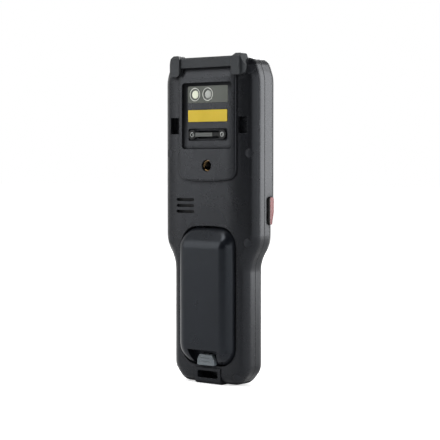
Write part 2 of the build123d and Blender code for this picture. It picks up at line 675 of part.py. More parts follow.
def front_case():
    """Return the front shell with the display frame, the key holes and the posts."""
    shell = CASE_SKIN & FRONT_SPACE
    frame_half = WINDOW_WIDTH / 2 + WALL / 2
    frame_z = (WINDOW_LOW_Z - WALL / 2, WINDOW_HIGH_Z + WALL / 2)
    shell += block((-frame_half, frame_half), (HEAD_INSIDE_Y, DISPLAY_FRONT_Y), frame_z)
    for x, z in screw_places():
        shell += rod(FRONT_BOSS_R, HEAD_FRONT_Y, FRONT_RIM_Y, x, z) & CASE_OUTSIDE
    for x in (-POST_SPACING / 2, POST_SPACING / 2):
        for z in POST_HEIGHTS:
            shell += rod(POST_R, HEAD_FRONT_Y, KEY_BOARD_FRONT_Y, x, z) & CASE_OUTSIDE

    window = rounded(WINDOW_WIDTH + 2 * FIT_GAP, WINDOW_HEIGHT + 2 * FIT_GAP, WINDOW_CORNER_R,
                     z=WINDOW_MIDDLE_Z)
    window_seat = HEAD_FRONT_Y + WINDOW_SINK + WINDOW_THICKNESS
    screen = rounded(SCREEN_WIDTH, SCREEN_HEIGHT, WALL / 2, z=WINDOW_MIDDLE_Z)
    cuts = [slab(window, HEAD_FRONT_Y - WALL, window_seat),
            slab(screen, HEAD_FRONT_Y, DISPLAY_FRONT_Y + WALL)]
    cuts.append(top_opening())
    receiver_slot = Pos(0, RECEIVER_SLOT_Z) * SlotOverall(RECEIVER_SLOT_WIDTH, RECEIVER_SLOT_HEIGHT)
    cuts.append(slab(receiver_slot, HEAD_FRONT_Y - WALL, HEAD_INSIDE_Y + WALL))
    for key in key_layout().values():
        cuts.append(slab(key.outline(SLIDE_GAP), GRIP_FRONT_Y - WALL, GRIP_INSIDE_Y))
    for side in (1, -1):
        cuts.append(trigger_space(side, SLIDE_GAP, HEAD_WIDTH / 2 - 3 * WALL, HEAD_WIDTH / 2 + WALL))
    for x, z in screw_places():
        cuts.append(rod(SCREW_SHANK_R + FIT_GAP, SCREW_HEAD_Y - SCREW_LENGTH - WALL, FRONT_RIM_Y, x, z))
    half_x = CONNECTOR_WIDTH / 2 + FIT_GAP
    half_y = CONNECTOR_DEPTH / 2 + FIT_GAP
    cuts.append(block((-half_x, half_x), (CONNECTOR_Y - half_y, CONNECTOR_Y + half_y),
                      (-WALL, CONNECTOR_HEIGHT + FIT_GAP)))
    for cut in cuts:
        shell -= cut
    return shell


def case_gasket():
    """Return the thin seal between the two shells."""
    ring = body_outline(WALL / 4) - body_outline(3 * WALL / 4)
    seal = slab(ring, FRONT_RIM_Y, REAR_RIM_Y)
    return seal - anchor_notch() - top_opening()


# --- Scanning end --------------------------------------------------------------
def horn():
    """Return the right horn: a tongue down the back that stands up beside the window."""
    half, inner_foot = HORN_WIDTH / 2, BUMPER_TOP_Z - HORN_EDGE_R
    front_view = FilletPolyline((half, HORN_LOW_Z), (half, HORN_TOP_Z - HORN_OUTER_DROP),
                                (half - HORN_OUTER_RUN, HORN_TOP_Z), (HORN_INNER_RUN - half, HORN_TOP_Z),
                                (-half, inner_foot), (-half, HORN_LOW_Z), close=True,
                                radius=[HORN_CORNER_R, HORN_CORNER_R, *[HORN_EDGE_R] * 3, HORN_CORNER_R])
    tongue = slab(make_face(front_view), HORN_FRONT_Y, HORN_BACK_Y + WALL)
    side, front = -half - WALL, HORN_FRONT_Y - WALL
    top_view = FilletPolyline((side, front), (side, HORN_BACK_Y), (half, HORN_BACK_Y), (half, front),
                              close=True, radius=[HORN_EDGE_R, HORN_EDGE_R, HORN_BACK_R, HORN_EDGE_R])
    height = HORN_TOP_Z - HORN_LOW_Z + 2 * WALL
    tongue &= Pos(0, 0, HORN_LOW_Z - WALL) * extrude(make_face(top_view), amount=height, dir=(0, 0, 1))
    slope = Polyline((HORN_BACK_Y + WALL, HORN_TOP_Z - HORN_SLOPE - WALL),
                     (HORN_BACK_Y + WALL, HORN_TOP_Z + WALL),
                     (HORN_BACK_Y - HORN_SLOPE - WALL, HORN_TOP_Z + WALL), close=True)
    tongue -= extrude(Plane.YZ * make_face(slope), amount=HORN_WIDTH, both=True)
    return Pos(HORN_SPACING / 2, 0, 0) * tongue


def scan_bezel():
    """Return the bumper over the scanning end: a rim round the window and a crossbar between two horns."""
    bar_profile = Polyline((BACK_INSIDE_Y, BUMPER_LOW_Z), (BUMPER_BACK_Y, BUMPER_LOW_Z),
                           (BUMPER_BACK_Y, BUMPER_TOP_Z - BUMPER_SLOPE),
                           (BUMPER_BACK_Y - BUMPER_SLOPE, BUMPER_TOP_Z),
                           (HORN_FRONT_Y, BUMPER_TOP_Z), (HORN_FRONT_Y, CASE_TOP_Z - WALL),
                           (BACK_INSIDE_Y, CASE_TOP_Z - WALL), close=True)
    bumper = extrude(Plane.YZ * make_face(bar_profile), amount=HORN_SPACING / 2, both=True)
    rim_half = SCAN_WINDOW_WIDTH / 2 + BUMPER_RIM
    bumper += block((-rim_half, rim_half), (BUMPER_FRONT_Y, BACK_INSIDE_Y), (CASE_TOP_Z - WALL, BUMPER_TOP_Z))
    for side in both_sides(horn()):
        bumper += side
    half_x = SCAN_WINDOW_WIDTH / 2 + FIT_GAP
    half_y = SCAN_WINDOW_DEPTH / 2 + FIT_GAP
    bumper -= block((-half_x, half_x), (SCAN_WINDOW_Y - half_y, SCAN_WINDOW_Y + half_y), (0, HORN_TOP_Z))
    return bumper - CASE_OUTSIDE - hump()


def scan_window():
    """Return the clear window that the scanner looks through."""
    plate = Box(SCAN_WINDOW_WIDTH, SCAN_WINDOW_DEPTH, SCAN_WINDOW_THICKNESS)
    return Pos(0, SCAN_WINDOW_Y, CASE_TOP_Z + SCAN_WINDOW_THICKNESS / 2) * plate


def scan_engine():
    """Return the scan engine with its two round lenses towards the window."""
    width, depth, height = SCAN_ENGINE_SIZE
    top = CASE_TOP_Z - BACK_EDGE_R
    engine = block((-width / 2, width / 2), (BACK_INSIDE_Y - depth, BACK_INSIDE_Y), (top - height, top))
    for x in (-width / 4, width / 4):
        place = Pos(x, SCAN_WINDOW_Y, top)
        engine -= place * Cylinder(SCAN_ENGINE_LENS_R, WALL)
        engine += place * Cylinder(SCAN_ENGINE_LENS_R - WALL / 2, WALL)
    return engine


# --- Pieces on the hump ----------------------------------------------------------
def camera_window():
    """Return the plate over the camera and the flash."""
    outline = rounded(CAMERA_PLATE_WIDTH - 2 * FIT_GAP, CAMERA_PLATE_HEIGHT - 2 * FIT_GAP, WALL / 2,
                      z=CAMERA_PLATE_Z)
    plate = slab(outline, PANEL_Y - CAMERA_PLATE_THICKNESS, PANEL_Y)
    for x in (0.0, FLASH_X):
        plate -= rod(CAMERA_R, BACK_Y - WALL, HUMP_Y, x, CAMERA_PLATE_Z)
    return plate


def camera_barrel(x, body_width, dish):
    """Return a lens barrel through the plate, dished at its mouth, on a square body."""
    body_back = BACK_INSIDE_Y - FIT_GAP
    half = body_width / 2
    barrel = rod(CAMERA_R - FIT_GAP, body_back, PANEL_Y, x, CAMERA_PLATE_Z)
    barrel -= rod(CAMERA_R - WALL / 2, PANEL_Y - dish, PANEL_Y, x, CAMERA_PLATE_Z)
    body = block((x - half, x + half), (body_back - CAMERA_BODY_DEPTH, body_back),
                 (CAMERA_PLATE_Z - half, CAMERA_PLATE_Z + half))
    return barrel + body


def camera_module():
    """Return the camera with its lens barrel."""
    return camera_barrel(0.0, CAMERA_BODY_WIDTH, CAMERA_PLATE_THICKNESS)


def flash_module():
    """Return the flash light with its lens."""
    return camera_barrel(FLASH_X, FLASH_BODY_WIDTH, CAMERA_PLATE_THICKNESS / 2)


def label_plate():
    """Return the plain label in the hump's panel."""
    return slab(rounded(LABEL_WIDTH, LABEL_HEIGHT, WALL / 4, z=LABEL_Z), PANEL_Y, PANEL_Y + LABEL_THICKNESS)


def strap_bar():
    """Return the bar that a strap is looped round, with an eye at each end."""
    half = BAR_SCREW_SPACING / 2
    outline = Pos(0, BAR_Z) * Rectangle(BAR_SCREW_SPACING, BAR_HEIGHT)
    for x in (-half, half):
        outline += Pos(x, BAR_Z) * Circle(BAR_EYE_R)
    bar = slab(outline, BAR_RECESS_Y, BAR_RECESS_Y + BAR_THICKNESS)
    for x in (-half, half):
        bar -= rod(BAR_SCREW_SHANK_R + FIT_GAP / 2, BAR_RECESS_Y, HUMP_Y + WALL, x, BAR_Z)
        bar -= rod(BAR_SCREW_HEAD_R + FIT_GAP / 2, BAR_RECESS_Y + BAR_THICKNESS - BAR_SCREW_HEAD_HEIGHT,
                   HUMP_Y + WALL, x, BAR_Z)
    return bar


def bar_screw_tip():
    """Return how deep the strap bar's screws reach."""
    return BAR_RECESS_Y + BAR_THICKNESS - BAR_SCREW_LENGTH


def strap_bar_screws():
    """Return the two screws that hold the strap bar."""
    head_y = BAR_RECESS_Y + BAR_THICKNESS
    screws = []
    for x in (-BAR_SCREW_SPACING / 2, BAR_SCREW_SPACING / 2):
        screw = rod(BAR_SCREW_HEAD_R, head_y - BAR_SCREW_HEAD_HEIGHT, head_y, x, BAR_Z)
        screws.append(screw + rod(BAR_SCREW_SHANK_R, bar_screw_tip(), head_y, x, BAR_Z))
    return Compound(children=screws)


def handle_insert():
    """Return the threaded brass insert that a pistol handle screws into."""
    mouth = HUMP_Y - INSERT_SINK
    sleeve = rod(INSERT_R, mouth - INSERT_LENGTH, mouth, z=INSERT_Z)
    return sleeve - rod(INSERT_BORE_R, mouth - INSERT_LENGTH, mouth, z=INSERT_Z)


# --- Sound and motor ---------------------------------------------------------------
def speaker_seat_y():
    """Return the level of the mesh, clear of the crowned wall at the slots' far end."""
    far = SPEAKER_X + SPEAKER_R - BACK_FLAT_HALF
    run = HEAD_WIDTH / 2 - BACK_FLAT_HALF
    return BACK_INSIDE_Y - BACK_CROWN_DROP * (far / run) ** 2 - FIT_GAP / 2


def speaker_mesh():
    """Return the mesh behind the sound slots."""
    height = SPEAKER_SLOT_PITCH * SPEAKER_SLOT_COUNT + SPEAKER_SLOT_HEIGHT
    outline = rounded(2 * SPEAKER_R, height, WALL / 2, SPEAKER_X, SPEAKER_Z)
    return slab(outline, speaker_seat_y() - MESH_THICKNESS, speaker_seat_y())


def speaker():
    """Return the round loudspeaker with its magnet."""
    front = speaker_seat_y() - MESH_THICKNESS
    basket = rod(SPEAKER_R, front - SPEAKER_DEPTH / 2, front, SPEAKER_X, SPEAKER_Z)
    return basket + rod(SPEAKER_R * 0.62, front - SPEAKER_DEPTH, front, SPEAKER_X, SPEAKER_Z)


def receiver():
    """Return the earpiece behind its slot over the display."""
    outline = rounded(RECEIVER_WIDTH, RECEIVER_HEIGHT, WALL / 2, z=RECEIVER_SLOT_Z)
    return slab(outline, HEAD_INSIDE_Y + FIT_GAP, HEAD_INSIDE_Y + RECEIVER_DEPTH)


def vibration_motor():
    """Return the motor that shakes the case, with its offset weight."""
    y = BACK_INSIDE_Y - MOTOR_R - FIT_GAP
    place = Pos(MOTOR_X, y, MOTOR_Z) * Rot(0, 90, 0)
    can = place * Cylinder(MOTOR_R, MOTOR_LENGTH)
    arm = Pos(MOTOR_X + MOTOR_LENGTH / 2 + WALL, y, MOTOR_Z) * Rot(0, 90, 0)
    shaft = arm * Cylinder(MOTOR_R / 4, 2 * WALL)
    weight = arm * Cylinder(MOTOR_R - FIT_GAP, WALL)
    below = block((MOTOR_X, MOTOR_X + MOTOR_LENGTH + WALL), (y - MOTOR_R, y), (0, CASE_TOP_Z))
    return can + shaft + (weight - below)


# --- Display -------------------------------------------------------------------------
def display_window():
    """Return the clear window over the display."""
    outline = rounded(WINDOW_WIDTH, WINDOW_HEIGHT, WINDOW_CORNER_R, z=WINDOW_MIDDLE_Z)
    front = HEAD_FRONT_Y + WINDOW_SINK
    return slab(outline, front, front + WINDOW_THICKNESS)


def display_panel():
    """Return the display module behind the window."""
    half = SCREEN_WIDTH / 2 + PANEL_FRAME
    tall = SCREEN_HEIGHT / 2 + PANEL_FRAME
    return block((-half, half), (DISPLAY_FRONT_Y, DISPLAY_FRONT_Y + DISPLAY_DEPTH),
                 (WINDOW_MIDDLE_Z - tall, WINDOW_MIDDLE_Z + tall))


# --- Keypad --------------------------------------------------------------------------
class Key:
    """One key: where it is, and how wide, tall and round."""

    def __init__(self, x, z, width, height, corner=KEY_CORNER_R):
        self.x, self.z, self.width, self.height, self.corner = x, z, width, height, corner

    def outline(self, grow=0.0):
        width, height = self.width + 2 * grow, self.height + 2 * grow
        if self.corner * 2 >= self.width:
            return Pos(self.x, self.z) * Circle(width / 2)
        return rounded(width, height, self.corner + grow, self.x, self.z)

    def solid(self):
        cap = slab(self.outline(), GRIP_FRONT_Y - KEY_PROUD, KEY_BASE_Y)
        front_face = cap.faces().sort_by(Axis.Y)[0]
        cap = chamfer(front_face.edges(), KEY_EDGE)
        half_x, half_z = self.width / 2 + KEY_FLANGE, self.height / 2 + KEY_FLANGE
        return cap + block((self.x - half_x, self.x + half_x),
                           (KEY_BASE_Y - KEY_FLANGE_THICKNESS, KEY_BASE_Y),
                           (self.z - half_z, self.z + half_z))


def key_layout():
    """Return every key by its node's name."""
    keys = {}
    rows = (("1", "2", "3"), ("4", "5", "6"), ("7", "8", "9"), ("clear", "0", "enter"))
    for row, names in enumerate(rows):
        for column, name in enumerate(names):
            x, z = (column - 1) * DIGIT_PITCH_X, DIGIT_TOP_Z - row * DIGIT_PITCH_Z
            keys[f"key_{name}"] = Key(x, z, DIGIT_WIDTH, DIGIT_HEIGHT)
    keys["key_scan"] = Key(0, SCAN_KEY_Z, 2 * SCAN_KEY_R, 2 * SCAN_KEY_R, SCAN_KEY_R)
    for name, side in (("left", -1), ("right", 1)):
        keys[f"key_{name}"] = Key(side * CURSOR_OFFSET, SCAN_KEY_Z, CURSOR_WIDTH, CURSOR_LENGTH)
        keys[f"key_soft_{name}"] = Key(side * SOFT_KEY_X, SOFT_KEY_Z, SOFT_KEY_WIDTH, SMALL_KEY_HEIGHT)
    for name, side in (("down", -1), ("up", 1)):
        keys[f"key_{name}"] = Key(0, SCAN_KEY_Z + side * CURSOR_OFFSET, CURSOR_LENGTH, CURSOR_WIDTH)
    for name, side in (("power", -1), ("function", 1)):
        keys[f"key_{name}"] = Key(side * SMALL_KEY_X, SMALL_KEY_Z, SMALL_KEY_WIDTH, SMALL_KEY_HEIGHT)
    return keys


def keypad_mat():
    """Return the rubber mat that springs the keys."""
    outline = rounded(MAT_WIDTH, MAT_HIGH_Z - MAT_LOW_Z, WALL, z=(MAT_HIGH_Z + MAT_LOW_Z) / 2)
    return slab(outline, MAT_FRONT_Y, MAT_FRONT_Y + MAT_THICKNESS)


def keypad_board():
    """Return the circuit board under the keypad."""
    middle, height = (MAT_HIGH_Z + KEY_BOARD_LOW_Z) / 2, MAT_HIGH_Z - KEY_BOARD_LOW_Z
    outline = rounded(KEY_BOARD_WIDTH, height, WALL, z=middle)
    board = slab(outline, KEY_BOARD_FRONT_Y, KEY_BOARD_FRONT_Y + KEY_BOARD_THICKNESS)
    for x, z in screw_places():
        board -= rod(FRONT_BOSS_R + BODY_GAP, HEAD_FRONT_Y, BACK_Y, x, z)
    return board


# --- Main board and triggers -----------------------------------------------------------
def main_board():
    """Return the main board with its shield cans."""
    half = BOARD_WIDTH / 2
    back = BOARD_FRONT_Y + BOARD_THICKNESS
    board = block((-half, half), (BOARD_FRONT_Y, back), (BOARD_LOW_Z, BOARD_HIGH_Z))
    width, depth, height = SHIELD_SIZE
    low = (BOARD_LOW_Z + BOARD_HIGH_Z) / 2 - height / 2
    for x in (-half / 2, half / 2):
        board += block((x - width / 2, x + width / 2), (back, back + depth), (low, low + height))
    return board


def trigger(side):
    """Return one side trigger: a cap that follows the case and a flange behind the wall."""
    inner_x = HEAD_WIDTH / 2 - WALL - SLIDE_GAP - TRIGGER_FLANGE
    cap = trigger_space(side, 0.0, inner_x, HEAD_WIDTH)
    flange = trigger_space(side, TRIGGER_FLANGE, inner_x, HEAD_WIDTH)
    return (cap & case_body(-TRIGGER_PROUD)) + (flange & case_body(WALL + SLIDE_GAP))


def trigger_switches():
    """Return the two switches that the side triggers press."""
    outer = HEAD_WIDTH / 2 - WALL - SLIDE_GAP - TRIGGER_FLANGE - TRIGGER_TRAVEL - FIT_GAP
    reach = (BOARD_WIDTH / 2 + FIT_GAP, outer)
    half_y, half_z = SWITCH_BREADTH / 2, SWITCH_LENGTH / 2
    switch = block(reach, (TRIGGER_Y - half_y, TRIGGER_Y + half_y), (TRIGGER_Z - half_z, TRIGGER_Z + half_z))
    return Compound(children=both_sides(switch))


# --- Fasteners ---------------------------------------------------------------------------
def case_screws():
    """Return the screws that hold the two shells together."""
    screws = []
    for x, z in screw_places():
        head = rod(SCREW_HEAD_R, SCREW_HEAD_Y, SCREW_HEAD_Y + SCREW_HEAD_HEIGHT, x, z)
        screws.append(head + rod(SCREW_SHANK_R, SCREW_HEAD_Y - SCREW_LENGTH, SCREW_HEAD_Y, x, z))
    return Compound(children=screws)


def screw_plugs():
    """Return the plugs over the case screws, flush with the back."""
    plugs = []
    for x, z in screw_places():
        seat = rod(PLUG_R - FIT_GAP / 2, SCREW_HEAD_Y + SCREW_HEAD_HEIGHT, BACK_Y + WALL, x, z)
        plugs.append((seat & CASE_OUTSIDE).solid())
    return Compound(children=plugs)


# --- Battery pack --------------------------------------------------------------------------
def cover_form():
    """Return the cover's outside: a soft-edged hump with a ramp above and a curved toe."""
    toe_y, brow_y = COVER_BACK_Y - COVER_TOE_DROP, BACK_Y - FIT_GAP
    back = FilletPolyline((toe_y, BATTERY_BOTTOM_Z), (COVER_BACK_Y, COVER_TOE_Z),
                          (COVER_BACK_Y, COVER_RAMP_Z), (brow_y, BATTERY_TOP_Z),
                          radius=[COVER_TOE_R, COVER_RAMP_R])
    rest = Polyline(back @ 1, (COVER_UNDERSIDE_Y, BATTERY_TOP_Z), (COVER_UNDERSIDE_Y, BATTERY_BOTTOM_Z),
                    back @ 0)
    side = Plane.YZ * make_face([*back.edges(), *rest.edges()])
    form = slab(battery_outline(), COVER_UNDERSIDE_Y, COVER_BACK_Y)
    form &= extrude(side, amount=BATTERY_WIDTH, both=True)
    return fillet(creases(form, COVER_UNDERSIDE_Y), COVER_EDGE_R)


def battery_cover():
    """Return the pack's outer half, with the finger recess of the latch."""
    cover = cover_form()
    cell_half = CELL_WIDTH / 2 + FIT_GAP
    cell_top = TRAY_FLOOR_Y + TRAY_WALL + CELL_COUNT * CELL_THICKNESS + 2 * FIT_GAP
    cell_z = (CELL_LOW_Z - FIT_GAP, CELL_LOW_Z + CELL_LENGTH + FIT_GAP)
    cover -= block((-cell_half, cell_half), (COVER_UNDERSIDE_Y, cell_top), cell_z)
    low = LATCH_BOTTOM_Z - WALL
    top_half, low_half = FINGER_TOP_WIDTH / 2, FINGER_BOTTOM_WIDTH / 2
    finger = Polyline((-low_half, low), (low_half, low), (top_half, FINGER_TOP_Z),
                      (-top_half, FINGER_TOP_Z), close=True)
    cover -= slab(make_face(finger), FINGER_FLOOR_Y, COVER_BACK_Y + WALL)
    stem_half = LATCH_STEM_WIDTH / 2 + SLIDE_GAP
    foot_z = latch_foot_low()
    stem_z = (foot_z - SLIDE_GAP, foot_z + LATCH_STEM_HEIGHT + LATCH_TRAVEL + SLIDE_GAP)
    cover -= block((-stem_half, stem_half), (COVER_UNDERSIDE_Y, COVER_BACK_Y), stem_z)
    foot_half = LATCH_FOOT_WIDTH / 2 + SLIDE_GAP
    pocket_top = COVER_UNDERSIDE_Y + LATCH_FOOT_THICKNESS + 2 * SLIDE_GAP
    pocket_z = (foot_z - SLIDE_GAP, spring_top())
    return cover - block((-foot_half, foot_half), (COVER_UNDERSIDE_Y, pocket_top), pocket_z)


def latch_foot_low():
    """Return the lower end of the latch's foot, inside the cover."""
    return BATTERY_BOTTOM_Z + WALL / 2


def spring_top():
    """Return the closed end of the spring's pocket."""
    return latch_foot_low() + LATCH_FOOT_HEIGHT + FIT_GAP + SPRING_BENDS * SPRING_PITCH + SPRING_WIRE


def battery_latch():
    """Return the sliding latch: a ribbed thumb pad, a stem and a foot inside the cover."""
    low, high = LATCH_BOTTOM_Z, LATCH_BOTTOM_Z + LATCH_HEIGHT
    foot_half, crown_half = LATCH_WIDTH / 2, LATCH_CROWN_WIDTH / 2
    middle = low + LATCH_HEIGHT / 2
    outline = make_face(Polyline((-foot_half, low), (foot_half, low), (foot_half, middle),
                                 (crown_half, high), (-crown_half, high), (-foot_half, middle),
                                 close=True))
    outline = fillet(outline.vertices(), WALL / 3)
    latch = slab(outline, LATCH_FACE_Y, LATCH_BACK_Y)
    latch = chamfer(latch.faces().sort_by(Axis.Y)[-1].edges(), SLIDE_GAP)
    for step in (1, 2):
        z = low + LATCH_HEIGHT * step / 3
        groove = Pos(0, z) * SlotOverall(LATCH_GROOVE_WIDTH, LATCH_GROOVE_HEIGHT)
        latch -= slab(groove, LATCH_BACK_Y - LATCH_GROOVE_DEPTH, LATCH_BACK_Y)
    foot_y = COVER_UNDERSIDE_Y + SLIDE_GAP
    foot_z = latch_foot_low()
    stem_half, sole_half = LATCH_STEM_WIDTH / 2, LATCH_FOOT_WIDTH / 2
    latch += block((-stem_half, stem_half), (foot_y, LATCH_FACE_Y), (foot_z, foot_z + LATCH_STEM_HEIGHT))
    return latch + block((-sole_half, sole_half), (foot_y, foot_y + LATCH_FOOT_THICKNESS),
                         (foot_z, foot_z + LATCH_FOOT_HEIGHT))


def latch_spring():
    """Return the flat zigzag spring that pushes the latch shut."""
    low = latch_foot_low() + LATCH_FOOT_HEIGHT + FIT_GAP + SPRING_WIRE / 2
    points = []
    for bend in range(SPRING_BENDS + 1):
        side = 1 if bend % 2 else -1
        points.append((side * SPRING_HALF_WIDTH, low + bend * SPRING_PITCH))
    path = Polyline(*points)
    y = COVER_UNDERSIDE_Y + SLIDE_GAP
    return slab(trace(path, SPRING_WIRE), y, y + SPRING_DEPTH)


def battery_tray():
    """Return the pack's inner half, with the two hook tabs at its top."""
    tray = slab(tray_outline(), TRAY_FLOOR_Y, COVER_UNDERSIDE_Y)
    cell_half = CELL_WIDTH / 2 + FIT_GAP
    cell_z = (CELL_LOW_Z - FIT_GAP, CELL_LOW_Z + CELL_LENGTH + FIT_GAP)
    tray -= block((-cell_half, cell_half), (TRAY_FLOOR_Y + TRAY_WALL, COVER_UNDERSIDE_Y), cell_z)
    half, middle = HOOK_TAB_WIDTH / 2, HOOK_TAB_SPACING / 2
    tab_y = (COVER_UNDERSIDE_Y - FIT_GAP - HOOK_TAB_THICKNESS, COVER_UNDERSIDE_Y - FIT_GAP)
    tab = block((middle - half, middle + half), tab_y, (TRAY_TOP_Z - WALL, HOOK_TAB_TOP_Z))
    for side in both_sides(tab):
        tray += side
    for x in terminal_places():
        tray -= terminal_pad(x, TRAY_FLOOR_Y, TRAY_FLOOR_Y + TERMINAL_THICKNESS)
    return tray


def battery_cells():
    """Return the flat cells, one on the other."""
    cells = []
    for index in range(CELL_COUNT):
        low = TRAY_FLOOR_Y + TRAY_WALL + FIT_GAP / 2 + index * (CELL_THICKNESS + FIT_GAP / 2)
        cells.append(block((-CELL_WIDTH / 2, CELL_WIDTH / 2), (low, low + CELL_THICKNESS),
                           (CELL_LOW_Z, CELL_LOW_Z + CELL_LENGTH)))
    return Compound(children=cells)


def terminal_places():
    """List the X of each battery terminal."""
    first = -TERMINAL_PITCH * (TERMINAL_COUNT - 1) / 2
    return [first + TERMINAL_PITCH * index for index in range(TERMINAL_COUNT)]


def terminal_pad(x, y_low, y_high):
    """Return one contact pad on the pack's inner face."""
    half, reach = TERMINAL_WIDTH / 2, TERMINAL_LENGTH / 2
    return block((x - half, x + half), (y_low, y_high), (TERMINAL_Z - reach, TERMINAL_Z + reach))


def battery_terminals():
    """Return the pack's gold pads, flush with its inner face."""
    pads = [terminal_pad(x, TRAY_FLOOR_Y, TRAY_FLOOR_Y + TERMINAL_THICKNESS) for x in terminal_places()]
    return Compound(children=pads)


def bay_contacts():
    """Return the contact block in the bay's floor, with a spring pin for each pad."""
    pads = TERMINAL_COUNT * TERMINAL_PITCH / 2 + CONTACT_BLOCK_MARGIN
    reach = TERMINAL_LENGTH / 2 + CONTACT_BLOCK_MARGIN
    body = block((-pads, pads), (BAY_FLOOR_Y - BAY_WALL, BAY_FLOOR_Y),
                 (TERMINAL_Z - reach, TERMINAL_Z + reach))
    for x in terminal_places():
        body += rod(TERMINAL_WIDTH / 3, BAY_FLOOR_Y, TRAY_FLOOR_Y - SLIDE_GAP, x, TERMINAL_Z)
    return body


def battery_seal():
    """Return the seal on the bay's ledge, open at the hinge end."""
    ring = battery_outline(-SEAL_WIDTH / 4) - battery_outline(-SEAL_WIDTH * 5 / 4)
    seal = slab(ring, LEDGE_Y, LEDGE_Y + SEAL_THICKNESS)
    return seal - block((-HEAD_WIDTH, HEAD_WIDTH), (0, BACK_Y), (HINGE_POCKET_Z - FIT_GAP, CASE_TOP_Z))


# --- Foot ------------------------------------------------------------------------------------
def strap_anchor():
    """Return the anchor at the foot: a strap goes in at the back and out below."""
    half, slot_half = ANCHOR_WIDTH / 2, STRAP_SLOT_WIDTH / 2
    front = REAR_RIM_Y + FIT_GAP
    anchor = block((-half, half), (front, ANCHOR_BACK_Y), (0, ANCHOR_TOP_Z))
    heel = anchor.edges().filter_by(Axis.X).sort_by(lambda edge: (edge @ 0.5).Z - (edge @ 0.5).Y)[0]
    anchor = fillet(heel, ANCHOR_EDGE_R)
    sill = block((-half, half), (front, BACK_Y), (0, BAY_BOTTOM_Z)) & CASE_OUTSIDE
    anchor += sill & block((-half, half), (front, BACK_Y), (ANCHOR_TOP_Z - WALL / 2, BAY_BOTTOM_Z))
    inner = front + ANCHOR_FRONT_WALL
    slot_z = (STRAP_SLOT_LOW_Z, STRAP_SLOT_LOW_Z + STRAP_SLOT_HEIGHT)
    outline = rounded(STRAP_SLOT_WIDTH, STRAP_SLOT_HEIGHT, WALL / 2, z=sum(slot_z) / 2)
    mouth = slab(outline, inner, ANCHOR_BACK_Y)
    exit_slot = block((-slot_half, slot_half), (inner, inner + STRAP_EXIT_DEPTH), (-WALL, sum(slot_z) / 2))
    return anchor - mouth - exit_slot


def cradle_connector():
    """Return the charging connector in the foot, with its row of pads in a well."""
    half_x, half_y = CONNECTOR_WIDTH / 2, CONNECTOR_DEPTH / 2
    y_span = (CONNECTOR_Y - half_y, CONNECTOR_Y + half_y)
    body = block((-half_x, half_x), y_span, (0, CONNECTOR_HEIGHT))
    rim = WALL / 2
    body -= block((-half_x + rim, half_x - rim), (y_span[0] + rim, y_span[1] - rim), (0, CONNECTOR_WELL))
    first = -CONNECTOR_PAD_PITCH * (CONNECTOR_PADS - 1) / 2
    for index in range(CONNECTOR_PADS):
        x = first + CONNECTOR_PAD_PITCH * index
        half_pad = CONNECTOR_PAD_WIDTH / 2
        body += block((x - half_pad, x + half_pad), (CONNECTOR_Y - half_pad, CONNECTOR_Y + half_pad),
                      (CONNECTOR_WELL / 2, CONNECTOR_WELL))
    return body


PIECES = {
    "rear_case": rear_case,
    "battery_bay": battery_bay,
    "front_case": front_case,
    "case_gasket": case_gasket,
    "scan_bezel": scan_bezel,
    "scan_window": scan_window,
    "scan_engine": scan_engine,
    "camera_window": camera_window,
    "camera_module": camera_module,
    "flash_module": flash_module,
    "label_plate": label_plate,
    "strap_bar": strap_bar,
    "strap_bar_screws": strap_bar_screws,
    "handle_insert": handle_insert,
    "speaker_mesh": speaker_mesh,
    "speaker": speaker,
    "receiver": receiver,
    "vibration_motor": vibration_motor,
    "display_window": display_window,
    "display_panel": display_panel,
    "keypad_mat": keypad_mat,
    "keypad_board": keypad_board,
    "main_board": main_board,
    "trigger_switches": trigger_switches,
    "case_screws": case_screws,
    "screw_plugs": screw_plugs,
    "bay_contacts": bay_contacts,
    "battery_seal": battery_seal,
    "strap_anchor": strap_anchor,
    "cradle_connector": cradle_connector,
    "battery_cover": battery_cover,
    "battery_tray": battery_tray,
    "battery_cells": battery_cells,
    "battery_terminals": battery_terminals,
    "latch_spring": latch_spring,
    "battery_latch": battery_latch,
}

os.makedirs("parts", exist_ok=True)
for node, build in PIECES.items():
    export_step(build(), f"parts/{node}.step")
for node, side in (("trigger_right", 1), ("trigger_left", -1)):
    export_step(trigger(side), f"parts/{node}.step")
for node, key in key_layout().items():
    export_step(key.solid(), f"parts/{node}.step")
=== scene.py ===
"""Handheld barcode data terminal: its finishes, fine pieces, studio and camera.

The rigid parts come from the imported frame. This script dresses them, adds the small
pieces that sit on them and sets a plain studio. All lengths are in metres.
"""

import logging
import math
from dataclasses import dataclass, field
from enum import Enum
from typing import Any, Iterable

import bpy
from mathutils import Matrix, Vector


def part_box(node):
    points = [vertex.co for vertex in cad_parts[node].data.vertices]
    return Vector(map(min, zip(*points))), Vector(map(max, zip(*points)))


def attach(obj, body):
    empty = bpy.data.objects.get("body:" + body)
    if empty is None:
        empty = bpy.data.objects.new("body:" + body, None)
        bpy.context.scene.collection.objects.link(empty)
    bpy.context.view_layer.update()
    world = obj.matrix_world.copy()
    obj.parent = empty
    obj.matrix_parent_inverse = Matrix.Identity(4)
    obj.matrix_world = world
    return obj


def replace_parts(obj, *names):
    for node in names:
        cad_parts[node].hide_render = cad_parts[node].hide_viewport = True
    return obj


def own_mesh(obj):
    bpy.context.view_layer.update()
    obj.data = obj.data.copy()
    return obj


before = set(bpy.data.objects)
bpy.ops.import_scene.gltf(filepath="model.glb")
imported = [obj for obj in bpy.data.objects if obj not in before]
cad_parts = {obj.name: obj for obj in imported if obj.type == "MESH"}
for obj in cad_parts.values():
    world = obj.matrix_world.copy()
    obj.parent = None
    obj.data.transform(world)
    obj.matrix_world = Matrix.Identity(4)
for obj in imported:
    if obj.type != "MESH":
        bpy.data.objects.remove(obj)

LOG = logging.getLogger("terminal")
MM = 0.001
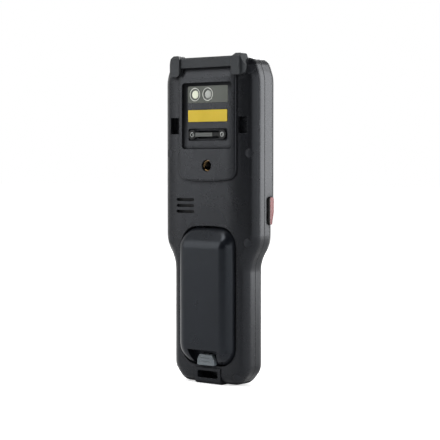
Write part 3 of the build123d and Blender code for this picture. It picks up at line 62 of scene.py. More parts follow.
SMOOTH_ANGLE = math.radians(35)
Node = bpy.types.Node
Piece = bpy.types.Object
Sockets = dict[str, bpy.types.NodeSocket]
Shade = tuple[int, int, int]
Colour = tuple[float, float, float]
Point = tuple[float, float, float]
Pair = tuple[float, float]
Run = list[Pair]


def linear(shade: Shade) -> Colour:
    """Turn display values of 0 to 255 into the linear colour that a shader takes."""
    shares = (level / 255 for level in shade)
    return tuple(s / 12.92 if s <= 0.04045 else ((s + 0.055) / 1.055) ** 2.4 for s in shares)


def paint(shade: Shade) -> tuple[float, ...]:
    """Return a shade as the four values of a colour socket."""
    return (*linear(shade), 1.0)


# --- Shader node groups ---


class Wiring:
    """A node tree with short calls that add nodes and join their sockets."""

    def __init__(self, tree: bpy.types.NodeTree) -> None:
        """Keep the tree that the calls work on."""
        self.tree = tree

    def feed(self, node: Node, inputs: dict[Any, Any]) -> None:
        """Give input sockets, by name or number, their values. A socket as a value is joined."""
        for key, value in inputs.items():
            if isinstance(value, bpy.types.NodeSocket):
                self.tree.links.new(value, node.inputs[key])
            else:
                node.inputs[key].default_value = value

    def add(self, kind: str, inputs: dict[Any, Any] | None = None, **settings: Any) -> Node:
        """Add one node.

        Args:
            kind: Blender's name of the node type.
            inputs: what its input sockets are fed.
            settings: properties of the node itself.

        Returns:
            The new node.
        """
        node = self.tree.nodes.new(kind)
        for key, value in settings.items():
            setattr(node, key, value)
        self.feed(node, inputs or {})
        return node

    def maths(self, operation: str, first: Any, second: Any = 0.0, clamp: bool = True) -> Any:
        """Return the result of one sum of two values, kept between 0 and 1 unless told otherwise."""
        inputs = {0: first, 1: second}
        return self.add("ShaderNodeMath", inputs, operation=operation, use_clamp=clamp).outputs[0]

    def vector_maths(self, operation: str, *vectors: Any) -> Any:
        """Return the number that a vector operation gives."""
        inputs = dict(enumerate(vectors))
        return self.add("ShaderNodeVectorMath", inputs, operation=operation).outputs["Value"]

    def mix(self, share: Any, first: Any, second: Any) -> Any:
        """Return a number between two numbers, by a share."""
        return self.add("ShaderNodeMix", {0: share, 2: first, 3: second}).outputs[0]

    def blend(self, share: Any, first: Any, second: Any) -> Any:
        """Return a colour between two colours, by a share."""
        return self.add("ShaderNodeMix", {0: share, 6: first, 7: second}, data_type="RGBA").outputs[2]

    def spread(self, value: Any, span: Pair, to: Pair = (0.0, 1.0)) -> Any:
        """Return a value stretched from one span to another."""
        inputs = dict(enumerate((value, *span, *to)))
        return self.add("ShaderNodeMapRange", inputs).outputs[0]

    def bump(self, height: Any, depth: float, normal: Any = None) -> Any:
        """Return the normal of a surface with a height pattern of a given depth."""
        inputs = {"Height": height, "Distance": depth, "Strength": 1.0}
        if normal is not None:
            inputs["Normal"] = normal
        return self.add("ShaderNodeBump", inputs).outputs[0]

    def place(self) -> Any:
        """Return the coordinates of the piece itself."""
        return self.add("ShaderNodeTexCoord").outputs["Object"]

    def axes(self) -> Any:
        """Return the piece's coordinates as three numbers."""
        return self.add("ShaderNodeSeparateXYZ", {0: self.place()}).outputs

    def noise(self, scale: Any, detail: float, at: Any = None) -> Any:
        """Return a cloudy pattern between 0 and 1."""
        inputs = {"Vector": self.place() if at is None else at, "Scale": scale, "Detail": detail}
        return self.add("ShaderNodeTexNoise", inputs).outputs[0]

    def rays_seeing(self, mirrored: Any) -> Any:
        """Return 1 to a ray from the camera, and a share to one by a mirror or through glass."""
        rays = self.add("ShaderNodeLightPath").outputs
        bent = self.maths("MAXIMUM", rays["Is Glossy Ray"], rays["Is Transmission Ray"])
        return self.maths("MAXIMUM", rays["Is Camera Ray"], self.maths("MULTIPLY", mirrored, bent))


def fresh_wiring(owner: bpy.types.Material | bpy.types.World) -> Wiring:
    """Return the wiring of a material's or a world's emptied node tree."""
    owner.use_nodes = True
    owner.node_tree.nodes.clear()
    return Wiring(owner.node_tree)


class Effect(Enum):
    """The shared surface effects, each one shader node group."""

    GRAIN = "moulded_grain"
    TONE = "tone_drift"
    HANDLING = "handling_marks"
    EDGE = "edge_wear_and_painted_light"
    WEAVE = "woven_mesh"
    TURNED = "turned_lines"
    CREVICE = "crevice_dull_and_shade"
    CROWN = "crowned_face"
    RECESS = "recess_shade"


class Effects:
    """Builds each effect's node group once, by the method of its name, and places it in materials.

    Such a method takes the group's wiring and the sockets of its inputs, and returns the
    sockets that the group puts out. A span holds the two values that become 0 and 1.
    """

    INPUTS: dict[Effect, dict[str, Any]] = {
        Effect.GRAIN: {"Scale": 2600.0},
        Effect.TONE: {"Tone": (0.5, 0.5, 0.5, 1.0), "Deep": (0.4, 0.4, 0.4, 1.0), "Scale": 45.0},
        Effect.HANDLING: {"Rubbed": 0.35, "Dull": 0.5, "Scale": 60.0},
        Effect.EDGE: {"Radius": 0.3 * MM, "Amount": 0.6},
        Effect.WEAVE: {"Scale": 1800.0},
        Effect.TURNED: {"Scale": 3000.0},
        Effect.CREVICE: {"Reach": 3 * MM},
        Effect.CROWN: {"Flat Half": 14 * MM, "Fall": 0.0},
        Effect.RECESS: {"Side X": 18.3 * MM, "Floor Y": 0.0, "Top Z": 176 * MM},
    }
    KINDS = {"VALUE": "NodeSocketFloat", "RGBA": "NodeSocketColor", "VECTOR": "NodeSocketVector"}
    PEBBLE_SHARE = 0.5
    CLOUD_SPAN = (0.35, 0.65)
    FINE_MARKS = 900.0
    FINE_SHARE = 0.1
    EDGE_TURN_SPAN = (0.995, 0.82)
    WORN_PATCHES = 260.0
    PATCH_SPAN = (0.38, 0.62)
    THREAD_SPAN = (0.35, 0.75)
    LINE_STRETCH = (1.0, 8.0, 1.0)
    LINE_SPAN = (0.3, 0.7)
    NARROW_SPAN = (0.92, 0.5)
    # The spans below shape the painted shadow in a sunk panel.
    RIM_SPAN = (-0.4 * MM, -0.2 * MM)
    FAR_RIM_SPAN = (37 * MM, 36.8 * MM)
    SIDE_BAND_SPAN = (4 * MM, 2 * MM)
    SIDE_LENGTH_SPAN = (40 * MM, 14 * MM)
    TOP_BAND_SPAN = (4.5 * MM, 2 * MM)
    TOP_LENGTH_SPAN = (36 * MM, 0.0)
    TOP_BAND_END = 0.6

    def __init__(self) -> None:
        """Start with no group made."""
        self.made: dict[Effect, bpy.types.NodeTree] = {}

    def put(self, wiring: Wiring, effect: Effect, inputs: dict[str, Any] | None = None) -> Any:
        """Place an effect in a material.

        Args:
            wiring: the material's wiring.
            effect: the effect, whose group is built on first use.
            inputs: the values that differ from the group's own.

        Returns:
            The effect's output sockets, by name.
        """
        if effect not in self.made:
            self.made[effect] = self.group(effect)
        return wiring.add("ShaderNodeGroup", inputs, node_tree=self.made[effect]).outputs

    def group(self, effect: Effect) -> bpy.types.NodeTree:
        """Build an effect's node group."""
        tree = bpy.data.node_groups.new(effect.value, "ShaderNodeTree")
        for name, first in self.INPUTS[effect].items():
            kind = self.KINDS["VALUE" if isinstance(first, float) else "RGBA"]
            tree.interface.new_socket(name, in_out="INPUT", socket_type=kind).default_value = first
        wiring = Wiring(tree)
        made = getattr(self, effect.value)(wiring, wiring.add("NodeGroupInput").outputs)
        for name, socket in made.items():
            tree.interface.new_socket(name, in_out="OUTPUT", socket_type=self.KINDS[socket.type])
        wiring.add("NodeGroupOutput", made)
        return tree

    def moulded_grain(self, wiring: Wiring, given: Any) -> Sockets:
        """Build the fine spark-eroded grain of moulded plastic and rubber."""
        at = wiring.place()
        cloud = wiring.noise(given["Scale"], 2.0, at)
        cells = wiring.add("ShaderNodeTexVoronoi", {"Vector": at, "Scale": given["Scale"]})
        return {"Height": wiring.mix(self.PEBBLE_SHARE, cloud, cells.outputs["Distance"])}

    def tone_drift(self, wiring: Wiring, given: Any) -> Sockets:
        """Build the slow drift between two near tones of one colour."""
        share = wiring.spread(wiring.noise(given["Scale"], 5.0), self.CLOUD_SPAN)
        return {"Color": wiring.blend(share, given["Tone"], given["Deep"])}

    def handling_marks(self, wiring: Wiring, given: Any) -> Sockets:
        """Build roughness that varies with the rubbed and the dull places of a surface."""
        at = wiring.place()
        broad = wiring.maths("MULTIPLY", wiring.noise(given["Scale"], 4.0, at), 1.0 - self.FINE_SHARE)
        fine = wiring.maths("MULTIPLY", wiring.noise(self.FINE_MARKS, 2.0, at), self.FINE_SHARE)
        share = wiring.spread(wiring.maths("ADD", broad, fine), self.CLOUD_SPAN)
        return {"Roughness": wiring.mix(share, given["Rubbed"], given["Dull"])}

    def edge_wear_and_painted_light(self, wiring: Wiring, given: Any) -> Sockets:
        """Build a softened normal for hard edges, and a patchy mask along them that tints them for wear, and
        paints a shadow on the plug and a highlight on the latch.
        """
        soft = wiring.add("ShaderNodeBevel", {"Radius": given["Radius"]}, samples=4).outputs[0]
        hard = wiring.add("ShaderNodeNewGeometry").outputs["Normal"]
        turned = wiring.spread(wiring.vector_maths("DOT_PRODUCT", soft, hard), self.EDGE_TURN_SPAN)
        patchy = wiring.spread(wiring.noise(self.WORN_PATCHES, 4.0), self.PATCH_SPAN)
        edge_tone = wiring.maths("MULTIPLY", wiring.maths("MULTIPLY", turned, patchy), given["Amount"])
        return {"Mask": edge_tone, "Normal": soft}

    def woven_mesh(self, wiring: Wiring, given: Any) -> Sockets:
        """Build the crossing threads of a fine mesh in the plane of the back."""
        inputs = {"Vector": wiring.place(), "Scale": given["Scale"]}
        bands = [
            wiring.add("ShaderNodeTexWave", inputs, wave_type="BANDS", bands_direction=way).outputs["Fac"]
            for way in ("X", "Z")
        ]
        thread = wiring.maths("MAXIMUM", *bands)
        return {"Height": thread, "Thread": wiring.spread(thread, self.THREAD_SPAN)}

    def turned_lines(self, wiring: Wiring, given: Any) -> Sockets:
        """Build the fine rings that a lathe leaves across a metal face."""
        inputs = {"Vector": wiring.place(), "Scale": self.LINE_STRETCH}
        lines = wiring.noise(given["Scale"], 1.0, wiring.add("ShaderNodeMapping", inputs).outputs[0])
        return {"Height": lines, "Share": wiring.spread(lines, self.LINE_SPAN)}

    def crevice_dull_and_shade(self, wiring: Wiring, given: Any) -> Sockets:
        """Build the mask of narrow, shut-in places, where hands and cloths never polish, and where metals get
        painted shade.
        """
        open_sky = wiring.add("ShaderNodeAmbientOcclusion", {"Distance": given["Reach"]}, samples=6)
        return {"Mask": wiring.spread(open_sky.outputs["AO"], self.NARROW_SPAN)}

    def crowned_face(self, wiring: Wiring, given: Any) -> Sockets:
        """Build the height of a face that falls away gently on both sides of its flat middle."""
        side = wiring.maths("ABSOLUTE", wiring.axes()[0], clamp=False)
        past = wiring.maths("SUBTRACT", side, given["Flat Half"])
        fall = wiring.maths("MULTIPLY", wiring.maths("MULTIPLY", past, past), given["Fall"], clamp=False)
        return {"Height": wiring.maths("SUBTRACT", 0.0, fall, clamp=False)}

    def recess_shade(self, wiring: Wiring, given: Any) -> Sockets:
        """Build the mask of a painted shadow along the top and one side of a sunk panel's floor."""
        from_side, under_floor, from_top = (
            wiring.maths("SUBTRACT", given[name], at, clamp=False)
            for name, at in zip(self.INPUTS[Effect.RECESS], wiring.axes())
        )
        beside = wiring.maths(
            "MULTIPLY", wiring.spread(from_side, self.SIDE_BAND_SPAN),
            wiring.spread(from_top, self.SIDE_LENGTH_SPAN),
        )
        above = wiring.maths(
            "MULTIPLY", wiring.spread(from_top, self.TOP_BAND_SPAN),
            wiring.spread(from_side, self.TOP_LENGTH_SPAN, (self.TOP_BAND_END, 1.0)),
        )
        mask = wiring.maths("MAXIMUM", beside, above)
        for gap in (under_floor, from_side, from_top):
            mask = wiring.maths("MULTIPLY", mask, wiring.spread(gap, self.RIM_SPAN))
        return {"Mask": wiring.maths("MULTIPLY", mask, wiring.spread(from_side, self.FAR_RIM_SPAN))}


EFFECTS = Effects()


# --- Finishes ---


@dataclass(frozen=True)
class Finish:
    """What every finish has: a name and a material that is made once."""

    name: str

    def material(self) -> bpy.types.Material:
        """Return the finish as a material, made on first use."""
        found = bpy.data.materials.get(self.name)
        if found is not None:
            return found
        made = bpy.data.materials.new(self.name)
        wiring = fresh_wiring(made)
        shader = wiring.add("ShaderNodeBsdfPrincipled")
        wiring.add("ShaderNodeOutputMaterial", {"Surface": shader.outputs[0]})
        self.wire(wiring, shader)
        return made

    def wire(self, wiring: Wiring, shader: Node) -> None:
        """Join the finish's effects to its shader."""
        raise NotImplementedError


@dataclass(frozen=True)
class Moulded(Finish):
    """Moulded plastic or rubber with grain, tone drift, handling marks and tinted edges; some finishes add
    painted shadow, in a sunk panel and along a trigger's slot.
    """

    tone: Shade
    deep: Shade
    # Edge tone: wear on most finishes, a painted shadow ring on the plug, part painted highlight on the
    # latch.
    edge_tone: Shade
    rubbed: float = 0.38
    dull: float = 0.5
    grain_scale: float = 2600.0
    grain_depth: float = 0.000012
    edge_radius: float = 0.3 * MM
    edge_share: float = 0.35
    specular: float = 0.5
    sheen_tint: Colour = (1.0, 1.0, 1.0)
    coat: float = 0.0
    coat_roughness: float = 0.2
    crevice_dull: float = 0.0
    crown_fall: float = 0.0
    # Painted shadow along a trigger's slot: where it starts along Y, its soft edge, its tone and its
    # roughness.
    gap_shadow_from: float | None = None
    gap_shadow_edge: float = 0.05 * MM
    gap_shadow_tone: Shade = (8, 8, 9)
    gap_shadow_dull: float = 0.9
    # Painted shadow in a sunk panel: its limits and its tone.
    panel_shadow_limits: Point | None = None
    panel_shadow_tone: Shade = (2, 2, 3)

    def wire(self, wiring: Wiring, shader: Node) -> None:
        """Join the grain, tone, handling and edge effects to the shader."""
        tone = EFFECTS.put(wiring, Effect.TONE, {"Tone": paint(self.tone), "Deep": paint(self.deep)})
        edge = EFFECTS.put(wiring, Effect.EDGE, {"Radius": self.edge_radius, "Amount": self.edge_share})
        handling = EFFECTS.put(wiring, Effect.HANDLING, {"Rubbed": self.rubbed, "Dull": self.dull})
        grain = EFFECTS.put(wiring, Effect.GRAIN, {"Scale": self.grain_scale})
        normal, rough = edge["Normal"], handling["Roughness"]
        colour = wiring.blend(edge["Mask"], tone["Color"], paint(self.edge_tone))
        if self.crown_fall:
            crown = EFFECTS.put(wiring, Effect.CROWN, {"Fall": self.crown_fall})
            normal = wiring.bump(crown["Height"], 1.0, normal)
        if self.crevice_dull:
            rough = wiring.mix(EFFECTS.put(wiring, Effect.CREVICE)["Mask"], rough, self.crevice_dull)
        # Painted shadow: the panel's floor is darkened and dulled along its top and side, where its walls
        # shade it.
        if self.panel_shadow_limits is not None:
            limits = dict(zip(EFFECTS.INPUTS[Effect.RECESS], self.panel_shadow_limits))
            shade = EFFECTS.put(wiring, Effect.RECESS, limits)["Mask"]
            colour = wiring.blend(shade, colour, paint(self.panel_shadow_tone))
            rough = wiring.mix(shade, rough, 1.0)
        # Painted shadow: the trigger's back strip, sunk in its slot, is coloured near black and dulled.
        if self.gap_shadow_from is not None:
            gap_shadow = wiring.spread(wiring.axes()[1], (self.gap_shadow_from, self.gap_shadow_from + self.gap_shadow_edge))
            colour = wiring.blend(gap_shadow, colour, paint(self.gap_shadow_tone))
            rough = wiring.mix(gap_shadow, rough, self.gap_shadow_dull)
        wiring.feed(shader, {
            "Base Color": colour, "Roughness": rough,
            "Normal": wiring.bump(grain["Height"], self.grain_depth, normal),
            "Specular IOR Level": self.specular, "Specular Tint": (*self.sheen_tint, 1.0),
            "Coat Weight": self.coat, "Coat Roughness": self.coat_roughness,
        })


@dataclass(frozen=True)
class Metal(Finish):
    """Turned or plated metal with fine machining lines, and painted shade in its hollows where set."""

    bright: Shade
    tarnish: Shade
    rubbed: float = 0.22
    dull: float = 0.4
    marks_scale: float = 400.0
    line_scale: float = 3000.0
    line_depth: float = 0.000006
    edge_radius: float = 0.1 * MM
    edge_share: float = 0.8
    # Painted shade inside sockets and bores: how far it reaches and its tone.
    painted_shade_reach: float = 0.0
    painted_shade_tone: Shade = (10, 9, 8)

    def wire(self, wiring: Wiring, shader: Node) -> None:
        """Join the machining lines and the edge effect to a metal shader."""
        lines = EFFECTS.put(wiring, Effect.TURNED, {"Scale": self.line_scale})
        edge = EFFECTS.put(wiring, Effect.EDGE, {"Radius": self.edge_radius, "Amount": self.edge_share})
        marks = {"Rubbed": self.rubbed, "Dull": self.dull, "Scale": self.marks_scale}
        base = wiring.blend(lines["Share"], paint(self.bright), paint(self.tarnish))
        colour = wiring.blend(edge["Mask"], base, paint(self.bright))
        # Painted shade: colour darkens inside sockets and bores, where little light reaches.
        if self.painted_shade_reach:
            crevice = EFFECTS.put(wiring, Effect.CREVICE, {"Reach": self.painted_shade_reach})
            colour = wiring.blend(crevice["Mask"], colour, paint(self.painted_shade_tone))
        wiring.feed(shader, {
            "Base Color": colour, "Roughness": EFFECTS.put(wiring, Effect.HANDLING, marks)["Roughness"],
            "Normal": wiring.bump(lines["Height"], self.line_depth, edge["Normal"]), "Metallic": 1.0,
        })


@dataclass(frozen=True)
class Glass(Finish):
    """Clear or tinted glass with faint wiping marks. Its tint is a linear colour."""

    tint: Colour
    rubbed: float = 0.02
    dull: float = 0.07
    clear: float = 1.0
    index: float = 1.5
    deepened: float = 0.92
    tone_scale: float = 90.0
    marks_scale: float = 80.0

    def wire(self, wiring: Wiring, shader: Node) -> None:
        """Join the wiping marks to a glass shader."""
        deep = (*(level * self.deepened for level in self.tint), 1.0)
        tone = {"Tone": (*self.tint, 1.0), "Deep": deep, "Scale": self.tone_scale}
        marks = {"Rubbed": self.rubbed, "Dull": self.dull, "Scale": self.marks_scale}
        wiring.feed(shader, {
            "Base Color": EFFECTS.put(wiring, Effect.TONE, tone)["Color"],
            "Roughness": EFFECTS.put(wiring, Effect.HANDLING, marks)["Roughness"],
            "Transmission Weight": self.clear, "IOR": self.index,
        })


@dataclass(frozen=True)
class Woven(Finish):
    """A fine woven mesh over a sound opening."""

    thread: Shade
    gap: Shade
    scale: float = 1500.0
    depth: float = 0.05 * MM
    rough: float = 0.7

    def wire(self, wiring: Wiring, shader: Node) -> None:
        """Join the crossing threads to the shader."""
        weave = EFFECTS.put(wiring, Effect.WEAVE, {"Scale": self.scale})
        wiring.feed(shader, {
            "Base Color": wiring.blend(weave["Thread"], paint(self.gap), paint(self.thread)),
            "Normal": wiring.bump(weave["Height"], self.depth), "Roughness": self.rough,
        })


@dataclass(frozen=True)
class Screen(Finish):
    """The dark face of a display that is switched off, with its fine pixel rows."""

    tone: Shade
    deep: Shade
    tone_scale: float = 25.0
    rows_scale: float = 1300.0
    rows_share: float = 0.4
    rubbed: float = 0.12
    dull: float = 0.2

    def wire(self, wiring: Wiring, shader: Node) -> None:
        """Join the pixel rows and the tone to a glossy shader."""
        tones = {"Tone": paint(self.tone), "Deep": paint(self.deep), "Scale": self.tone_scale}
        rows = EFFECTS.put(wiring, Effect.WEAVE, {"Scale": self.rows_scale})
        share = wiring.maths("MULTIPLY", rows["Thread"], self.rows_share)
        marks = EFFECTS.put(wiring, Effect.HANDLING, {"Rubbed": self.rubbed, "Dull": self.dull})
        colour = wiring.blend(share, EFFECTS.put(wiring, Effect.TONE, tones)["Color"], paint(self.deep))
        wiring.feed(shader, {"Base Color": colour, "Roughness": marks["Roughness"]})


# The X of the sunk panel's side, the Y of its floor and the Z of its top, which bound the shadow painted into
# the panel.
PANEL = (18.3 * MM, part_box("camera_window")[1].y, 173.9 * MM)
CASE = Moulded(
    "case_plastic_black", (15, 16, 19), (12, 13, 15), (62, 64, 66), 0.26, 0.29, grain_depth=0.000008,
    edge_share=0.25, specular=0.25, sheen_tint=(0.88, 0.92, 1.0), crevice_dull=1.0, crown_fall=5.0, panel_shadow_limits=PANEL,
)
PACK = Moulded(
    "pack_plastic_black", (15, 17, 22), (12, 14, 18), (60, 64, 70), 0.27, 0.3, grain_depth=0.000008,
    edge_share=0.25, specular=0.25, sheen_tint=(0.82, 0.9, 1.0), crevice_dull=0.8,
)
BUMPER = Moulded(
    "bumper_rubber_black", (25, 27, 29), (20, 21, 23), (84, 85, 84), 0.34, 0.42, grain_scale=1900.0, edge_share=0.5,
    edge_radius=0.5 * MM, specular=0.3, sheen_tint=(0.9, 0.95, 1.0), crevice_dull=0.8,
)
SEAL = Moulded("seal_rubber_black", (14, 14, 15), (10, 10, 11), (30, 30, 31), 0.6, 0.75)
# Its edge tone is near black: a painted shadow ring round the plug's rim.
PLUG = Moulded(
    "plug_rubber_black", (24, 25, 28), (19, 20, 23), (3, 3, 4), 0.36, 0.44, edge_radius=0.7 * MM, edge_share=1.0,
    specular=0.25, sheen_tint=(0.88, 0.92, 1.0), crevice_dull=1.0,
)
INNER = Moulded("inner_plastic_black", (22, 22, 24), (16, 16, 18), (60, 60, 62))
PLATE = Moulded(
    "camera_plate_grey", (73, 77, 70), (67, 71, 64), (132, 134, 128), 0.3, 0.42, grain_depth=0.000006,
    specular=0.35,
)
BARREL = Moulded("lens_barrel_grey", (72, 75, 69), (62, 65, 60), (120, 122, 116), 0.3, 0.4)
RING = Moulded("lens_ring_pale", (206, 209, 200), (192, 195, 186), (230, 230, 225), 0.25, 0.4)
LENS = Moulded(
    "lens_cover_grey", (172, 175, 169), (158, 161, 156), (190, 192, 188), 0.4, 0.5, grain_scale=1700.0,
    grain_depth=0.00002, edge_share=0.1, coat=0.1,
)
DIFFUSER = Moulded(
    "flash_diffuser_cream", (232, 236, 214), (222, 226, 204), (240, 242, 226), 0.25, 0.35, grain_scale=1400.0,
    grain_depth=0.00003, edge_share=0.1,
)
LABEL = Moulded(
    "label_film_yellow", (208, 180, 42), (195, 168, 36), (226, 210, 110), 0.36, 0.48, grain_depth=0.000004,
    edge_share=0.5, specular=0.3,
)
BAR = Moulded("strap_bar_black", (16, 17, 18), (12, 13, 14), (60, 62, 62), 0.4, 0.5, specular=0.2)
STRIP = Moulded("strap_strip_grey", (72, 75, 73), (62, 65, 63), (112, 114, 112), 0.4, 0.5)
# Its pale edge tone at full share is partly wear, partly a painted highlight along the latch's rounded rim.
LATCH = Moulded(
    "latch_plastic_grey", (106, 114, 119), (96, 104, 109), (176, 182, 184), 0.35, 0.48, edge_radius=0.5 * MM,
    edge_share=1.0,
)
# The trigger's back strip gets a painted shadow of the slot it sits in.
TRIGGER = Moulded(
    "trigger_plastic_red", (118, 42, 44), (104, 36, 38), (176, 96, 92), 0.34, 0.44, specular=0.4,
    gap_shadow_from=-5.7 * MM,
)
KEY = Moulded("key_rubber_grey", (74, 76, 79), (66, 68, 71), (104, 106, 108), 0.5, 0.62)
SCAN_KEY = Moulded("key_rubber_orange", (190, 72, 38), (174, 62, 32), (214, 124, 92), 0.45, 0.58)
LEGEND = Moulded("legend_ink_white", (212, 214, 212), (200, 202, 200), (224, 225, 224))
MASK_INK = Moulded("window_ink_black", (12, 12, 13), (9, 9, 10), (20, 20, 21))
BOARD = Moulded("board_mask_green", (20, 82, 48), (14, 66, 38), (120, 150, 110), 0.25, 0.4)
FOIL = Moulded("cell_foil_silver", (176, 178, 182), (158, 160, 166), (200, 200, 204), 0.2, 0.35)
# The screw sockets and the insert's bore get painted shade.
HEAD_STEEL = Metal("screw_head_steel", (150, 152, 150), (106, 108, 107), 0.3, 0.45, painted_shade_reach=1 * MM)
BRASS = Metal("insert_brass", (150, 122, 84), (50, 38, 25), 0.14, 0.26, painted_shade_reach=6 * MM)
STEEL = Metal("screw_steel_dark", (132, 132, 134), (84, 84, 88))
GOLD = Metal("contact_gold", (232, 194, 112), (206, 164, 86))
CLEAR = Glass("window_glass_clear", (0.86, 0.88, 0.88))
RED_GLASS = Glass("scan_glass_red", linear((150, 22, 20)), 0.03, 0.1)
SOUND_MESH = Woven("sound_mesh_black", (40, 41, 42), (8, 8, 8))
PANEL_FACE = Screen("display_face_dark", (26, 30, 33), (14, 17, 19))


# --- Modelling calls ---


def axis_of(node: str) -> Pair:
    """Return the X and Z of the middle of a CAD node."""
    low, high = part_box(node)
    return (low.x + high.x) / 2, (low.z + high.z) / 2


def let_go() -> None:
    """Leave edit mode and deselect everything."""
    if bpy.context.object is not None and bpy.context.object.mode != "OBJECT":
        bpy.ops.object.mode_set(mode="OBJECT")
    bpy.ops.object.select_all(action="DESELECT")


def hold(piece: Piece) -> None:
    """Select one object alone and make it active."""
    let_go()
    piece.select_set(True)
    bpy.context.view_layer.objects.active = piece


def edit_all() -> None:
    """Enter edit mode with the whole mesh selected."""
    bpy.ops.object.mode_set(mode="EDIT")
    bpy.ops.mesh.select_all(action="SELECT")


def settle(piece: Piece) -> None:
    """Write a piece's place, turn and scale into its mesh."""
    hold(piece)
    bpy.ops.object.transform_apply(location=True, rotation=True, scale=True)


def apply_all(piece: Piece) -> None:
    """Apply every modifier of a piece, in order."""
    hold(piece)
    for modifier in list(piece.modifiers):
        bpy.ops.object.modifier_apply(modifier=modifier.name)


def smooth(piece: Piece) -> Piece:
    """Shade a piece smooth but for its plain edges, and return it."""
    hold(piece)
    bpy.ops.object.shade_smooth_by_angle(angle=SMOOTH_ANGLE)
    return piece


def finish_piece(piece: Piece, name: str, finish: Finish, body: str) -> Piece:
    """Name, dress and seat a finished piece.

    Args:
        piece: the object, with its place in its mesh.
        name: the piece's name.
        finish: what it is made of.
        body: the body it rides on.

    Returns:
        The same piece.
    """
    piece.name = piece.data.name = name
    piece.data.materials.clear()
    piece.data.materials.append(finish.material())
    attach(piece, body)
    LOG.info("made %s on %s: %d faces", name, body, len(piece.data.polygons))
    return piece


def draw_chain(corners: list[Vector]) -> Piece:
    """Draw a chain of edges from corner to corner.

    Args:
        corners: the places that the chain goes through, in order.

    Returns:
        The object, still in edit mode.
    """
    let_go()
    bpy.ops.mesh.primitive_plane_add(size=MM)
    chain = bpy.context.object
    edit_all()
    bpy.ops.mesh.merge(type="CENTER")
    bpy.ops.transform.translate(value=corners[0])
    for before, after in zip(corners, corners[1:]):
        bpy.ops.mesh.extrude_vertices_move(TRANSFORM_OT_translate={"value": after - before})
    return chain


def lathe(profile: Iterable[Pair], centre: Pair, steps: int) -> Piece:
    """Spin a profile round an axis along Y.

    Args:
        profile: radius and Y of each corner, closed or ending on the axis.
        centre: X and Z of the axis.
        steps: sides of the round.

    Returns:
        The object, smooth but for its plain edges.
    """
    piece = draw_chain([Vector((centre[0] + radius, y, centre[1])) for radius, y in profile])
    bpy.ops.mesh.select_all(action="SELECT")
    bpy.ops.mesh.spin(steps=steps, angle=math.tau, center=(centre[0], 0.0, centre[1]), axis=(0.0, 1.0, 0.0))
    bpy.ops.mesh.select_all(action="SELECT")
    bpy.ops.mesh.remove_doubles(threshold=1e-7)
    bpy.ops.mesh.normals_make_consistent(inside=False)
    return smooth(piece)


def draw_lines(runs: list[Run], middle: Vector, width: float, depth: float) -> Piece:
    """Draw lines of even width in an upright plane.

    Args:
        runs: each line's corners in millimetres, X and Z from the middle.
        middle: where the drawing is centred.
        width: the width of a line in its plane.
        depth: its thickness along Y.

    Returns:
        One object that holds every line.
    """
    parts = []
    for run in runs:
        part = draw_chain([middle + Vector((x * MM, 0.0, z * MM)) for x, z in run])
        bpy.ops.object.mode_set(mode="OBJECT")
        line = part.modifiers.new("line", "SKIN")
        for vertex in part.data.skin_vertices[0].data:
            vertex.radius = (width / 2, width / 2)
        line.use_smooth_shade = False
        apply_all(part)
        parts.append(part)
    hold(parts[0])
    for part in parts:
        part.select_set(True)
    if len(parts) > 1:
        bpy.ops.object.join()
    whole = bpy.context.object
    edit_all()
    bpy.ops.transform.resize(value=(1.0, depth / width, 1.0), center_override=middle)
    settle(whole)
    return whole


def soft_block(centre: Point, size: Point, edge: float, steps: int) -> Piece:
    """Make a block with rounded edges.

    Args:
        centre: its middle.
        size: its lengths along X, Y and Z.
        edge: how wide its rounding is.
        steps: faces across the rounding.

    Returns:
        The block, with its place in its mesh.
    """
    let_go()
    bpy.ops.mesh.primitive_cube_add(size=1.0, location=centre)
    block = bpy.context.object
    block.scale = size
    settle(block)
    soft = block.modifiers.new("soft", "BEVEL")
    soft.width, soft.segments = edge, steps
    apply_all(block)
    return block


def dress(finish: Finish, *nodes: str) -> None:
    """Give CAD nodes a finish through their own material slots."""
    for node in nodes:
        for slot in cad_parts[node].material_slots:
            slot.material = finish.material()
        LOG.info("dressed %s in %s", node, finish.name)


# --- Sub-assemblies ---


@dataclass
class CaseShells:
    """The two shells with their seam, plugs and foot."""

    plastic: Moulded = CASE

    def build(self) -> None:
        """Give the shells, the seam, the plugs and the strap anchor their finishes."""
        dress(self.plastic, "rear_case", "battery_bay", "front_case", "strap_anchor")
        dress(SEAL, "case_gasket", "battery_seal")
        dress(PLUG, "screw_plugs")
        dress(STEEL, "case_screws")


@dataclass
class ScanningEnd:
    """The bumper with its horns, the red window and the engine behind it."""

    rubber: Moulded = BUMPER

    def build(self) -> None:
        """Give the scanning end its finishes."""
        dress(self.rubber, "scan_bezel")
        dress(RED_GLASS, "scan_window")
        dress(INNER, "scan_engine")


